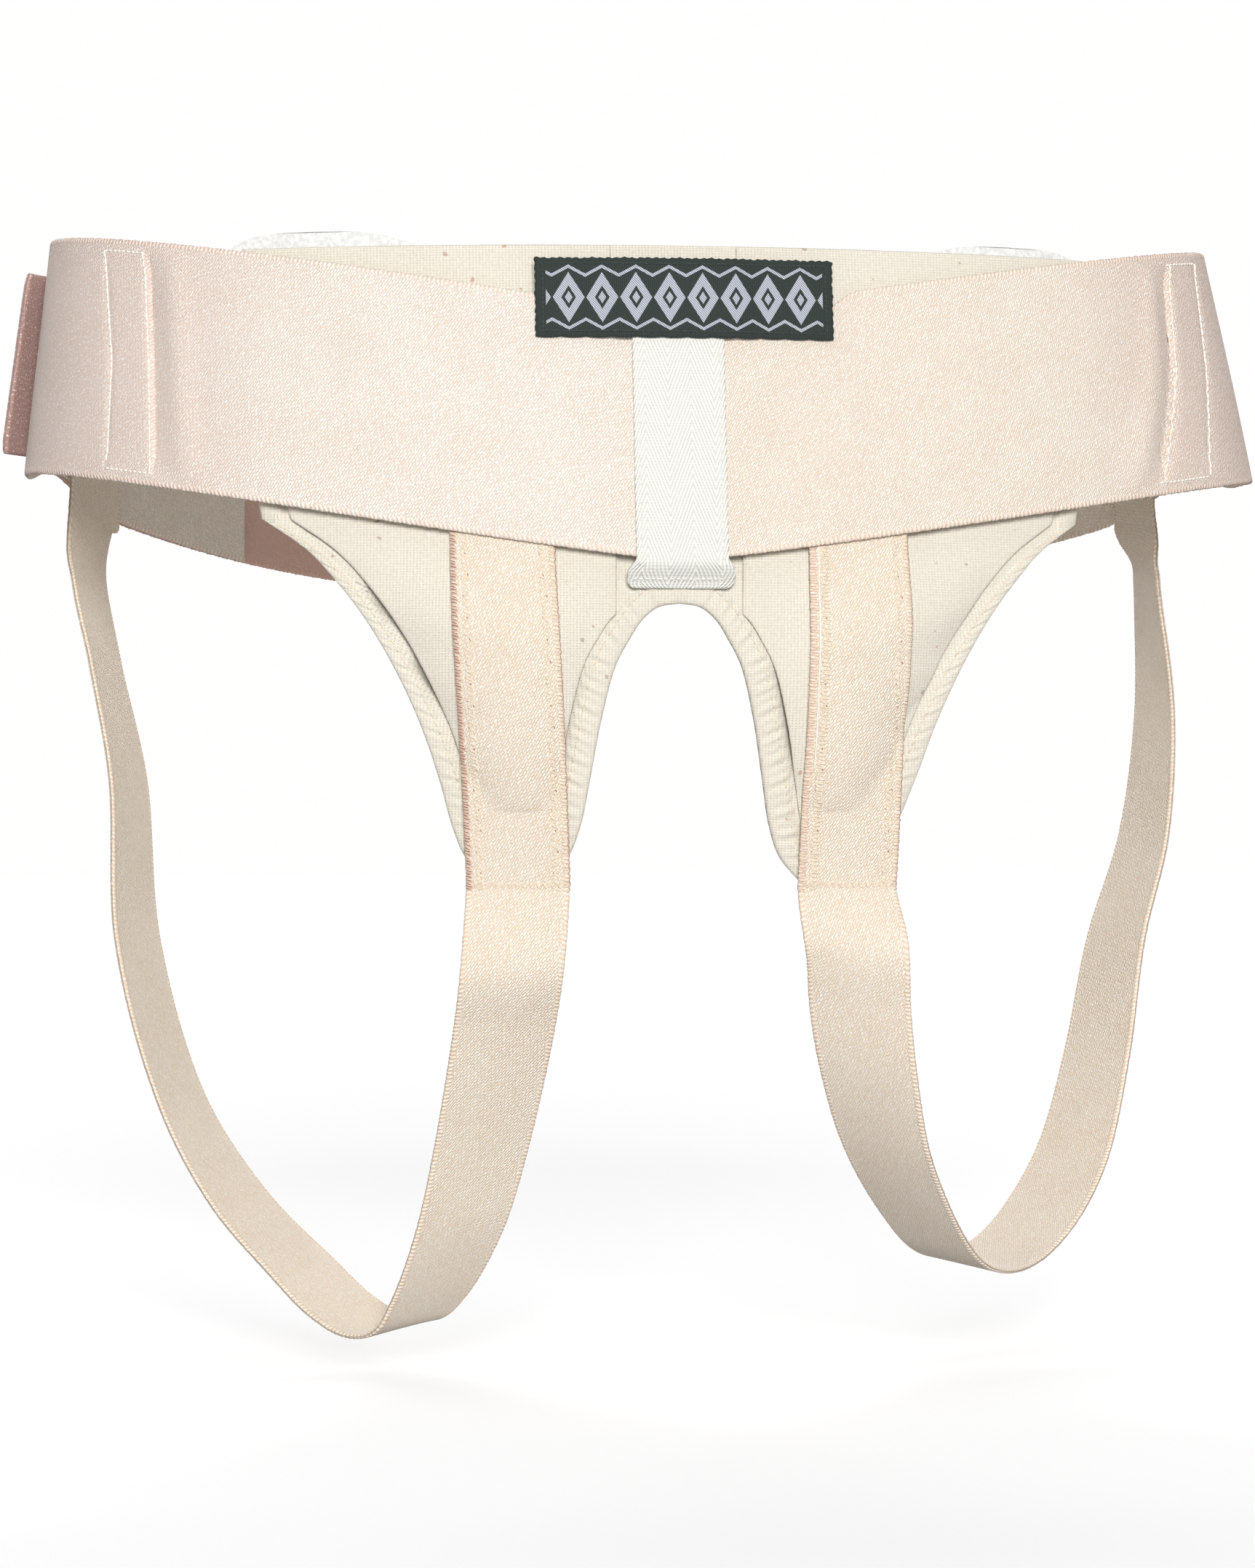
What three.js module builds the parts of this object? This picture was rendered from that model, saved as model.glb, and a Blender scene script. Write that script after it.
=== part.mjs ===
// A double hernia belt (truss) in its worn form. A wide elastic waist band closes at the rear, a knit
// panel with two lobes and a padded pocket on each hangs behind its front, and a narrow elastic strap
// runs down each pocket and back up to the band as a thigh loop.
// Millimetres, +Z up, the wearer's front towards -Y. The origin is the middle of the waist loop.
import * as THREE from "three";

const { clamp, degToRad, lerp, smoothstep } = THREE.MathUtils;

// The waist loop, outside the elastic, at the band's lower edge
const loopWidth = 396;
const loopDepth = 226;
const sideFlare = 12; // how far each hip leans in up to the band's upper edge
const frontFlare = 11; // the same for the front and the rear
const sideLow = 29; // from the origin down to the lower edge at the hips
const frontDip = 31; // how much lower the front centre hangs than the hips
const rearDip = 34; // how much lower the rear centre hangs
const hipRide = 7; // how far the lower edge rides up just behind the hips
const hipLean = 4; // how far both hips are pushed to one side at the lower edge
const bandHeight = 75;
const bandThickness = 1.8;
const seamGap = 0.35; // between cloths sewn on each other
const foldGap = 0.9; // between cloths that only rest on each other

// The band's two lengths of elastic, as angles round the loop from the front centre
const innerEnd = degToRad(142); // rear end of the inner length, on the wearer's right
const outerEnd = degToRad(255); // end of the outer length, lapped over it
const lapEase = degToRad(25); // stretch over which the outer length moves out before the lap
const cornerDrop = 5; // how far the outer length's front corner curls down beside the label

// The hook tab on the outer length's end
const tabHeight = 58;
const tabThickness = 2;
const tabOverlap = 12; // sewn on the elastic
const tabReach = 25; // beyond its end
const tabCut = 5; // how much shorter its upper corner is cut
const tabDrop = 3.5; // how far it is sewn below the band's middle

// The knit panel
const panelWidth = 265;
const panelRise = 23; // above the band's upper edge at the front centre
const panelFlare = 8; // how much further out its upper corners reach
const panelThickness = 1.4;
const lobeSpread = 3.5; // how much further out the lobe on the wearer's left reaches
const lobeDrop = 97; // from the band's lower edge at the front centre to the lobes' tips
const lobeTuck = 13; // how far the tips tuck in towards the body
const hemWidth = 7.5;
const hemThickness = 2.6;
const hemStep = 1; // width of the slope at the hem's inner edge
const tipRound = 2.5; // how much wider the hem is round the tips

// The pockets and the pads in them
const pocketThickness = 1.2;
const pocketInset = 1.4; // from the hem to the pocket's edge
const pocketSpread = 39; // between the two pockets' inner edges
const padThickness = 11;
const padDrop = 130; // lower end of the pads, below the origin
const padRiseLeft = 5; // above the panel's upper edge
const padRiseRight = 3;
const padReach = 5; // how far a pad lifts the pocket beyond its own outline
const padForward = 0.5; // share of a pad's thickness that stands out below the band

// The leg straps
const strapWidth = 31.5;
const strapThickness = 1.6;
const strapTuck = 14; // height of each strap's front end hidden behind the band
const strapSewn = 20; // height of its rear end sewn inside the band
const strapEntry = 3; // how far below the band that end already follows the band
const strapRearLeft = degToRad(116.5); // where it is sewn, from the front centre
const strapRearRight = degToRad(117.6);
const gatherLeft = 0.8; // share of its width that is left where it is sewn to the band
const gatherRight = 0.5;
const strapTopLeft = 54; // from the front centre to the strap's middle at the band
const strapFootLeft = 48; // the same at the lobe's tip
const strapTopRight = 55.5;
const strapFootRight = 54;
const legDropLeft = 141; // from the lobes' tips to the loop's lowest point
const legDropRight = 123.5;
const legRoll = 0.11; // share of its width by which a strap's inner edge dips at the loop's lowest point

// The tape and the label on the front centre
const tapeWidth = 28;
const tapeThickness = 1;
const tapeFoot = 8; // below the band's lower edge
const tapeTop = 9; // above the band's upper edge
const footFlare = 2.5; // how much wider the sewn foot is on each side
const labelWidth = 91;
const labelHeight = 24.5;
const labelThickness = 1;
const labelRise = 18.5; // the label's upper edge above the band's
const labelShift = 2.5; // how far it is sewn off the middle

// Levels that follow from these
const bandRise = Math.sqrt(bandHeight ** 2 - sideFlare ** 2);
const lowSide = -sideLow;
const lowFront = lowSide - frontDip;
const lowRear = lowSide - rearDip;
const panelTop = lowFront + bandRise + panelRise;
const lobeTip = lowFront - lobeDrop;

// Layers outwards from the middle of the band's elastic
const bandFace = bandThickness / 2;
const strapFace = -bandFace - seamGap; // outer face of what hangs behind the band
const pocketFace = strapFace - strapThickness - foldGap;
const padPlane = pocketFace - pocketThickness - foldGap;
const panelFace = pocketFace - pocketThickness - seamGap;

// Lobe outline from the hidden corner at the band down to the tip:
// out in shares of half the panel's width, down in shares of the lobe's drop
const lobeEdge = [
  { out: 0.958, down: -0.14 },
  { out: 0.856, down: -0.04 },
  { out: 0.781, down: 0.07 },
  { out: 0.723, down: 0.175 },
  { out: 0.657, down: 0.325 },
  { out: 0.596, down: 0.5 },
  { out: 0.551, down: 0.67 },
  { out: 0.517, down: 0.825 },
  { out: 0.485, down: 0.92 },
  { out: 0.43, down: 1 },
];
// Arch between the lobes from its top down to a tip, in the same shares
const archEdge = [
  { out: 0, down: 0.128 },
  { out: 0.05, down: 0.14 },
  { out: 0.087, down: 0.18 },
  { out: 0.116, down: 0.24 },
  { out: 0.147, down: 0.32 },
  { out: 0.179, down: 0.49 },
  { out: 0.202, down: 0.67 },
  { out: 0.222, down: 0.82 },
  { out: 0.25, down: 0.92 },
  { out: 0.302, down: 1 },
];
// Pad outline from its lower end to its top, at equal steps: the middle and the half width,
// in shares of half the panel's width
const padOutline = [
  { middle: 0.365, half: 0.06 },
  { middle: 0.385, half: 0.115 },
  { middle: 0.422, half: 0.17 },
  { middle: 0.465, half: 0.23 },
  { middle: 0.535, half: 0.31 },
  { middle: 0.605, half: 0.355 },
  { middle: 0.65, half: 0.365 },
  { middle: 0.69, half: 0.36 },
  { middle: 0.83, half: 0.375 },
];
// Leg loops from the lobe's tip round the thigh and up to the band:
// out and back in shares of half the loop, down in shares of the leg drop, turn in degrees
const legRouteLeft = [
  { out: 0.252, back: -0.86, down: 0.19, turn: 0 },
  { out: 0.259, back: -0.771, down: 0.323, turn: 5 },
  { out: 0.283, back: -0.593, down: 0.584, turn: 16 },
  { out: 0.311, back: -0.481, down: 0.773, turn: 22 },
  { out: 0.354, back: -0.366, down: 0.93, turn: 32 },
  { out: 0.388, back: -0.31, down: 0.99, turn: 40 },
  { out: 0.43, back: -0.24, down: 1, turn: 44 },
  { out: 0.483, back: -0.15, down: 0.96, turn: 45 },
  { out: 0.539, back: -0.052, down: 0.883, turn: 46 },
  { out: 0.638, back: 0.114, down: 0.731, turn: 51 },
  { out: 0.729, back: 0.266, down: 0.503, turn: 59 },
  { out: 0.796, back: 0.36, down: 0.147, turn: 61 },
  { out: 0.811, back: 0.398, down: -0.225, turn: 66 },
  { out: 0.848, back: 0.437, down: -0.495, turn: 70 },
  { out: 0.875, back: 0.462, down: -0.705, turn: 68 },
];
const legRouteRight = [
  { out: 0.284, back: -0.865, down: 0.17, turn: 12 },
  { out: 0.294, back: -0.809, down: 0.318, turn: 20 },
  { out: 0.315, back: -0.737, down: 0.483, turn: 30 },
  { out: 0.355, back: -0.61, down: 0.675, turn: 42 },
  { out: 0.43, back: -0.425, down: 0.873, turn: 50 },
  { out: 0.486, back: -0.32, down: 0.97, turn: 53 },
  { out: 0.545, back: -0.21, down: 1, turn: 54 },
  { out: 0.608, back: -0.1, down: 0.977, turn: 54 },
  { out: 0.671, back: 0.004, down: 0.903, turn: 54 },
  { out: 0.754, back: 0.18, down: 0.73, turn: 56 },
  { out: 0.808, back: 0.288, down: 0.478, turn: 60 },
  { out: 0.85, back: 0.36, down: 0.172, turn: 66 },
  { out: 0.906, back: 0.42, down: -0.109, turn: 72 },
  { out: 0.927, back: 0.44, down: -0.438, turn: 79 },
  { out: 0.915, back: 0.435, down: -0.74, turn: 88 },
  { out: 0.909, back: 0.435, down: -0.85, turn: 89 },
];

// The loop's surface

function halfWidthAt(z) {
  const climb = (z - lowSide) / bandRise;
  return loopWidth / 2 - sideFlare * clamp(climb, 0, 1.2);
}

function leanAt(angle, z) {
  const climb = (z - lowSide) / bandRise;
  return hipLean * Math.sin(angle) ** 2 * clamp(1 - climb, 0, 1);
}

function halfDepthAt(z) {
  const climb = (z - lowFront) / bandRise;
  if (climb > 0) return loopDepth / 2 - frontFlare * climb;
  return loopDepth / 2 - lobeTuck * ((lowFront - z) / lobeDrop) ** 2;
}

function loopPoint(angle, z, out) {
  const wide = halfWidthAt(z);
  const deep = halfDepthAt(z);
  const normal = new THREE.Vector2(Math.sin(angle) / wide, -Math.cos(angle) / deep).normalize();
  const x = wide * Math.sin(angle) + leanAt(angle, z) + normal.x * out;
  const y = -deep * Math.cos(angle) + normal.y * out;
  return new THREE.Vector3(x, y, z);
}

function frontAngle(x, z) {
  const first = Math.asin(clamp(x / halfWidthAt(z), -1, 1));
  return Math.asin(clamp((x - leanAt(first, z)) / halfWidthAt(z), -1, 1));
}

function frontPoint(x, z, out) {
  return loopPoint(frontAngle(x, z), z, out);
}

function lowerEdge(angle) {
  const side = Math.abs(Math.sin(angle));
  if (Math.cos(angle) > 0) return lowFront + frontDip * side ** 1.15;
  const behindHip = clamp((Math.abs(Math.cos(angle)) - 0.33) / 0.24, -1, 1);
  return lowRear + rearDip * side ** 2.4 + hipRide * Math.cos(behindHip * Math.PI / 2) ** 2;
}

function upperEdge(angle) {
  const side = Math.abs(Math.sin(angle));
  if (Math.cos(angle) > 0) return lowFront + bandRise + frontDip * side ** 0.95;
  return lowerEdge(angle) + bandRise;
}

// A closed sheet of cloth. place(across, along, layer) gives its points, with across to the viewer's
// right, along downwards and layer from 0 on the body side to 1 outside.
function sheet(columns, rows, place) {
  const shape = new THREE.BoxGeometry(1, 1, 1, columns, rows, 1);
  const points = shape.attributes.position;
  for (let i = 0; i < points.count; i++) {
    const across = points.getX(i) + 0.5;
    const along = 0.5 - points.getY(i);
    const layer = points.getZ(i) + 0.5;
    const at = place(across, along, layer);
    points.setXYZ(i, at.x, at.y, at.z);
  }
  shape.computeVertexNormals();
  return shape;
}

function piece(name, shape, color, roughness) {
  const material = new THREE.MeshStandardMaterial({ color, roughness, metalness: 0 });
  const mesh = new THREE.Mesh(shape, material);
  mesh.name = name;
  return mesh;
}

// The waist band

function bandShape(from, to, columns, outAt, dropAt) {
  return sheet(columns, 3, (across, along, layer) => {
    const angle = lerp(from, to, across);
    const top = upperEdge(angle) - dropAt(angle);
    const z = lerp(top, lowerEdge(angle), along);
    const out = outAt(angle) + (layer - 0.5) * bandThickness;
    return loopPoint(angle, z, out);
  });
}

const frontGap = Math.asin(seamGap / loopWidth);
const lapStart = 2 * Math.PI - innerEnd;
const lapOut = bandThickness + seamGap;

function outerLengthOut(angle) {
  return lapOut * smoothstep(angle, lapStart - lapEase, lapStart - lapEase / 5);
}

function outerLengthDrop(angle) {
  const x = Math.sin(angle) * loopWidth / 2;
  const besideLabel = labelWidth / 2;
  if (Math.cos(angle) < 0) return 0;
  return cornerDrop * (1 - smoothstep(x, besideLabel, besideLabel * 1.3));
}

function hookTabShape() {
  const root = outerEnd - tabOverlap / (loopWidth / 3);
  const middle = (upperEdge(outerEnd) + lowerEdge(outerEnd)) / 2 - tabDrop;
  const inside = lapOut + bandFace + seamGap;
  const length = tabOverlap + tabReach;
  return sheet(6, 4, (across, along, layer) => {
    const z = middle + tabHeight * (0.5 - along);
    const out = inside + layer * tabThickness;
    const run = across * length;
    if (run <= tabOverlap) return loopPoint(lerp(root, outerEnd, run / tabOverlap), z, out);
    const end = loopPoint(outerEnd, z, out);
    const before = loopPoint(outerEnd - degToRad(1), z, out);
    const cut = tabCut * (1 - along) * (run - tabOverlap) / tabReach;
    return end.addScaledVector(end.clone().sub(before).normalize(), run - tabOverlap - cut);
  });
}

// The knit panel with its hem, the pockets and the pads

function outlineCurve(rows) {
  const points = rows.map((row) => {
    const x = row.out * panelWidth / 2;
    return new THREE.Vector3(x, 0, lowFront - row.down * lobeDrop);
  });
  return new THREE.CatmullRomCurve3(points, false, "centripetal");
}

const lobeCurve = outlineCurve(lobeEdge);
const archCurve = outlineCurve(archEdge);

// How far out a curve that runs downwards is at a height
function outAtHeight(curve, z) {
  let above = 0;
  let below = 1;
  for (let i = 0; i < 24; i++) {
    const middle = (above + below) / 2;
    if (curve.getPoint(middle).z > z) above = middle;
    else below = middle;
  }
  return curve.getPoint(above).x;
}

function lobeOutAt(z) {
  const corner = lobeCurve.getPoint(0);
  if (z < corner.z) return outAtHeight(lobeCurve, z);
  return lerp(corner.x, panelWidth / 2 + panelFlare, (z - corner.z) / (panelTop - corner.z));
}

// How far the lobe on the wearer's left reaches out beyond the outline, at its outer edge
function spreadAt(side, z, share) {
  if (side < 0) return 0;
  return lobeSpread * share * smoothstep(z, lobeTip, lobeTip + lobeDrop * 0.4);
}

function padTopOf(side) {
  return panelTop + (side < 0 ? padRiseLeft : padRiseRight);
}

function fromRows(rows, key, share) {
  const place = clamp(share, 0, 1) * (rows.length - 1);
  const index = Math.min(Math.floor(place), rows.length - 2);
  return lerp(rows[index][key], rows[index + 1][key], smoothstep(place - index, 0, 1));
}

// The pad's outline at a height along it, from -1 at its lower end to 1 at its top
function padAt(lengthwise) {
  const share = (lengthwise + 1) / 2;
  const end = Math.max(0, 1 - Math.abs(lengthwise) ** 3.2);
  return {
    middle: fromRows(padOutline, "middle", share) * panelWidth / 2,
    half: fromRows(padOutline, "half", share) * panelWidth / 2 * end ** (1 / 3.2),
    thick: padThickness * Math.max(0, 1 - lengthwise ** 4) ** 0.6,
  };
}

// How thick the pad fills the pocket at a place, with its outline widened by reach
function padFill(x, z, reach) {
  const top = padTopOf(x) + reach;
  const foot = -padDrop - reach;
  const lengthwise = (2 * z - top - foot) / (top - foot);
  if (Math.abs(lengthwise) >= 1) return 0;
  const pad = padAt(lengthwise);
  const share = (Math.abs(x) - pad.middle) / (pad.half + reach);
  return pad.thick * Math.max(0, 1 - share ** 2);
}

// The share of the filling that stands out, none behind the band
function forwardShare(x, z) {
  const below = lowerEdge(frontAngle(x, z)) - z;
  return padForward * smoothstep(below, 3, 33);
}

function pocketOut(x, z) {
  return forwardShare(x, z) * padFill(x, z, padReach);
}

function panelBack(x, z) {
  const fill = padFill(x, z, padReach);
  return (1 - forwardShare(x, z)) * fill + foldGap * Math.min(2, fill);
}

// The panel is laid out in lines from the arch to the outline, from one tip over the middle to the
// other, with closer lines and points at the hem
function panelShape() {
  const topCount = 8;
  const sideCount = 3;
  const lobeCount = 17;
  const steps = topCount + sideCount + lobeCount;
  const columns = 13;
  const corner = new THREE.Vector3(panelWidth / 2 + panelFlare, 0, panelTop);
  const hemStops = [0, hemWidth, hemWidth + hemStep];
  const tipStops = [0, hemWidth + tipRound, hemWidth + tipRound + hemStep];

  const lineOn = (curve, step, count) => {
    const length = curve.getLength();
    const left = count - step;
    if (left <= 2) return curve.getPointAt(1 - tipStops[left] / length);
    return curve.getPointAt(step / (count - 2) * (1 - tipStops[2] / length));
  };
  const outlineAt = (step) => {
    if (step <= topCount) return new THREE.Vector3(corner.x * step / topCount, 0, panelTop);
    const past = step - topCount;
    if (past <= sideCount) return corner.clone().lerp(lobeCurve.getPoint(0), past / sideCount);
    return lineOn(lobeCurve, past - sideCount, lobeCount);
  };
  const distanceAt = (column, length) => {
    const squeeze = Math.min(1, length / (2.5 * hemStops[2]));
    if (column <= 2) return hemStops[column] * squeeze;
    if (columns - column <= 2) return length - hemStops[columns - column] * squeeze;
    const ends = hemStops[2] * squeeze;
    return lerp(ends, length - ends, (column - 2) / (columns - 4));
  };
  return sheet(columns, 2 * steps, (across, along, layer) => {
    const column = Math.round(across * columns);
    const line = Math.round(along * 2 * steps) - steps;
    const step = Math.abs(line);
    const from = lineOn(archCurve, step, steps);
    const to = outlineAt(step);
    const length = from.distanceTo(to);
    const share = distanceAt(column, length) / length;
    const at = from.lerp(to, share);
    const x = (at.x + spreadAt(line, at.z, share)) * Math.sign(line);
    const onArchHem = column <= 1;
    const onOuterHem = columns - column <= 1 && step > topCount;
    const onTipHem = step >= steps - 1;
    const isHem = onArchHem || onOuterHem || onTipHem;
    const back = panelFace - panelThickness - panelBack(x, at.z);
    return frontPoint(x, at.z, back + layer * (isHem ? hemThickness : panelThickness));
  });
}

function pocketShape(side) {
  const inset = hemWidth + pocketInset;
  const foot = lobeTip + inset;
  return sheet(12, 24, (across, along, layer) => {
    const z = lerp(panelTop, foot, along);
    const outer = lobeOutAt(z) + spreadAt(side, z, 1) - inset;
    const arch = outAtHeight(archCurve, Math.min(z, archCurve.getPoint(0).z));
    const inner = Math.max(pocketSpread / 2, arch + inset + hemStep);
    const share = side < 0 ? 1 - across : across;
    const x = side * lerp(inner, outer, share);
    const out = pocketFace - (1 - layer) * pocketThickness + pocketOut(x, z);
    return frontPoint(x, z, out);
  });
}

function padShape(side) {
  const shape = new THREE.SphereGeometry(1, 22, 16);
  const points = shape.attributes.position;
  const top = padTopOf(side);
  for (let i = 0; i < points.count; i++) {
    const lengthwise = points.getY(i);
    const girth = Math.hypot(points.getX(i), points.getZ(i));
    const across = girth > 1e-6 ? points.getX(i) / girth : 0;
    const facing = points.getZ(i) / Math.max(girth, 1e-6);
    const pad = padAt(lengthwise);
    const x = side * pad.middle + across * pad.half;
    const z = lerp(-padDrop, top, (lengthwise + 1) / 2);
    const thick = pad.thick * facing ** 2;
    const forward = forwardShare(x, z);
    const out = padPlane + thick * (facing > 0 ? forward : forward - 1);
    const at = frontPoint(x, z, out);
    points.setXYZ(i, at.x, at.y, at.z);
  }
  shape.computeVertexNormals();
  return shape;
}

// The leg straps

function legStrapShape(side, strapTop, strapFoot, route, legDrop, rearAngle, gather) {
  const pocketRowCount = 16;
  const countPerRow = 3;
  const sewnRowCount = 3;
  const middleAt = (z) => {
    const share = clamp((lowFront - z) / lobeDrop, 0, 1);
    return side * lerp(strapTop, strapFoot, share);
  };
  const onPocket = (z) => (across, layer) => {
    const x = middleAt(z) + (across - 0.5) * strapWidth;
    const out = strapFace - (1 - layer) * strapThickness + pocketOut(x, z);
    return frontPoint(x, z, out);
  };
  const rows = [];
  const start = lowerEdge(frontAngle(middleAt(lowFront), lowFront)) + strapTuck;
  const foot = lobeTip - strapThickness;
  for (let i = 0; i <= pocketRowCount; i++) rows.push(onPocket(lerp(start, foot, i / pocketRowCount)));

  // The rear end, sewn flat inside the band
  const rearLow = lowerEdge(rearAngle);
  const rearRun = loopPoint(rearAngle + 0.01, rearLow, 0).sub(loopPoint(rearAngle - 0.01, rearLow, 0));
  const rearTurn = Math.atan2(Math.abs(rearRun.y), Math.abs(rearRun.x));
  const widthAngle = 0.02 * strapWidth * gather / rearRun.length();
  const onBand = (climb) => (across, layer) => {
    const angle = rearAngle - (across - 0.5) * widthAngle;
    const out = -bandFace - foldGap - (1 - layer) * strapThickness;
    return loopPoint(angle, lowerEdge(angle) + climb, out);
  };

  // The free loop runs along a curve through the route's rows, with a turn about the upright axis
  const footRow = onPocket(foot);
  const footRun = footRow(0.6, 0.5).sub(footRow(0.4, 0.5));
  const footTurn = Math.atan2(-side * footRun.y, footRun.x);
  const middles = [onPocket(foot + strapWidth / 3)(0.5, 0.5), footRow(0.5, 0.5)];
  const turns = [footTurn, footTurn];
  const rolls = [0, 0];
  for (const row of route) {
    const x = side * row.out * loopWidth / 2;
    const y = row.back * loopDepth / 2;
    middles.push(new THREE.Vector3(x, y, lobeTip - row.down * legDrop));
    turns.push(degToRad(row.turn));
    rolls.push(-side * legRoll * smoothstep(row.down, 0.5, 1));
  }
  for (const climb of [-strapEntry, strapSewn]) {
    middles.push(onBand(climb)(0.5, 0.5));
    turns.push(rearTurn);
    rolls.push(0);
  }
  const path = new THREE.CatmullRomCurve3(middles, false, "centripetal");
  const spans = middles.length - 1;
  const freeSteps = (spans - 2) * countPerRow;
  for (let i = 1; i < freeSteps; i++) {
    const along = 1 + i / countPerRow;
    const row = Math.floor(along);
    const turn = lerp(turns[row], turns[row + 1], along - row);
    const roll = lerp(rolls[row], rolls[row + 1], along - row);
    const width = strapWidth * lerp(1, gather, smoothstep(along, spans - 2.5, spans - 1));
    const centre = path.getPoint(along / spans);
    const down = path.getTangent(along / spans);
    const wide = new THREE.Vector3(Math.cos(turn), -side * Math.sin(turn), roll);
    wide.addScaledVector(down, -wide.dot(down)).normalize();
    const outward = down.clone().cross(wide);
    rows.push((across, layer) => centre.clone()
      .addScaledVector(wide, (across - 0.5) * width)
      .addScaledVector(outward, (layer - 0.5) * strapThickness));
  }
  for (let i = 0; i <= sewnRowCount; i++) rows.push(onBand(lerp(-strapEntry, strapSewn, i / sewnRowCount)));
  const count = rows.length - 1;
  return sheet(4, count, (across, along, layer) => rows[Math.round(along * count)](across, layer));
}

// The tape and the label

function tapeShape() {
  const onBand = bandFace + seamGap;
  const onHem = panelFace - panelThickness + hemThickness + seamGap;
  const bandRowCount = 12;
  const footRowCount = 5;
  const rows = bandRowCount + footRowCount;
  const top = lowFront + bandRise + tapeTop;
  const bottom = lowFront - tapeFoot;
  const hangs = lowFront - seamGap;
  return sheet(4, rows, (across, along, layer) => {
    const row = Math.round(along * rows);
    const below = (row - bandRowCount) / footRowCount;
    const z = below > 0 ? lerp(hangs, bottom, below) : lerp(top, hangs, row / bandRowCount);
    const width = tapeWidth + 2 * footFlare * smoothstep(below, -0.2, 0.4);
    const out = lerp(onBand, onHem, smoothstep(below, 0, 0.8));
    return frontPoint((across - 0.5) * width, z, out + layer * tapeThickness);
  });
}

function labelShape() {
  const top = lowFront + bandRise + labelRise;
  const overTape = bandFace + tapeThickness + 2 * seamGap;
  const overBand = bandFace + seamGap;
  return sheet(12, 3, (across, along, layer) => {
    const x = labelShift + (across - 0.5) * labelWidth;
    const z = top - along * labelHeight;
    const beside = smoothstep(Math.abs(x), tapeWidth / 2, tapeWidth);
    return frontPoint(x, z, lerp(overTape, overBand, beside) + layer * labelThickness);
  });
}

const elastic = 0xecdccb;
const strapElastic = 0xeadcc6;
const knit = 0xf1ebde;

const strapLeft = legStrapShape(
  -1, strapTopLeft, strapFootLeft, legRouteLeft, legDropLeft, -strapRearLeft, gatherLeft,
);
const strapRight = legStrapShape(
  1, strapTopRight, strapFootRight, legRouteRight, legDropRight, strapRearRight, gatherRight,
);
const bandLeft = bandShape(-innerEnd, -frontGap, 26, () => 0, () => 0);
const bandRight = bandShape(frontGap, outerEnd, 52, outerLengthOut, outerLengthDrop);

const belt = new THREE.Group();
belt.add(
  piece("waist_band_left", bandLeft, elastic, 0.6),
  piece("waist_band_right", bandRight, elastic, 0.6),
  piece("hook_tab", hookTabShape(), 0xb08c80, 0.9),
  piece("front_panel", panelShape(), knit, 0.85),
  piece("pad_pocket_left", pocketShape(-1), knit, 0.85),
  piece("pad_pocket_right", pocketShape(1), knit, 0.85),
  piece("pad_left", padShape(-1), 0xfcfcfa, 0.8),
  piece("pad_right", padShape(1), 0xfcfcfa, 0.8),
  piece("leg_strap_left", strapLeft, strapElastic, 0.65),
  piece("leg_strap_right", strapRight, strapElastic, 0.65),
  piece("centre_tape", tapeShape(), 0xf7f6ee, 0.8),
  piece("label_patch", labelShape(), 0x2b332f, 0.7),
);

export default belt;
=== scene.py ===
# A hernia belt in its worn form: elastic waist band, knit panel with two padded pockets and two leg
# straps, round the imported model. Sizes are in millimetres until a mesh is written in metres.
import math

import bpy
import numpy as np
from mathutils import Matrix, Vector


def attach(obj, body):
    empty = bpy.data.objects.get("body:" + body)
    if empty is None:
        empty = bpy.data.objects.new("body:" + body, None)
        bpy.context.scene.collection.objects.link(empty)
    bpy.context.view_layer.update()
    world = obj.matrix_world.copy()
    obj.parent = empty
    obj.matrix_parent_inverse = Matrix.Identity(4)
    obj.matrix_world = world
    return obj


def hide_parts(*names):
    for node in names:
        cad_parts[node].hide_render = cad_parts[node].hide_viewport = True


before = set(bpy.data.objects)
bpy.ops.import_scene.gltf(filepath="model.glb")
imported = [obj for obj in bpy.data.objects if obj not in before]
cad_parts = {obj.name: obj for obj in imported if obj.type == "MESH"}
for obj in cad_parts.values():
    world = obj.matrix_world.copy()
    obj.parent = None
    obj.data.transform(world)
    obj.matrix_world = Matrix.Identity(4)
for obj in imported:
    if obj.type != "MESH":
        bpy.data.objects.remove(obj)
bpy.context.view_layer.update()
scene = bpy.context.scene

# Camera at the photograph's viewing angle: level, a little to the left of straight ahead
CAMERA_TURN = math.radians(7.5)
CAMERA_DISTANCE = 1.7
CAMERA_SHIFT = 0.00175
CAMERA_HEIGHT = -0.127
CAMERA_LENS = 121.0

ahead = Vector((math.sin(CAMERA_TURN), math.cos(CAMERA_TURN), 0))
rightwards = Vector((ahead.y, -ahead.x, 0))
camera = bpy.data.objects.new("camera", bpy.data.cameras.new("camera"))
scene.collection.objects.link(camera)
camera.location = -ahead * CAMERA_DISTANCE - rightwards * CAMERA_SHIFT + Vector((0, 0, CAMERA_HEIGHT))
camera.rotation_euler = ahead.to_track_quat("-Z", "Y").to_euler()
camera.data.lens = CAMERA_LENS
camera.data.sensor_width = 36
camera.data.dof.use_dof = False
camera.data.clip_start = 0.05
camera.data.clip_end = 40
scene.camera = camera

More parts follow.
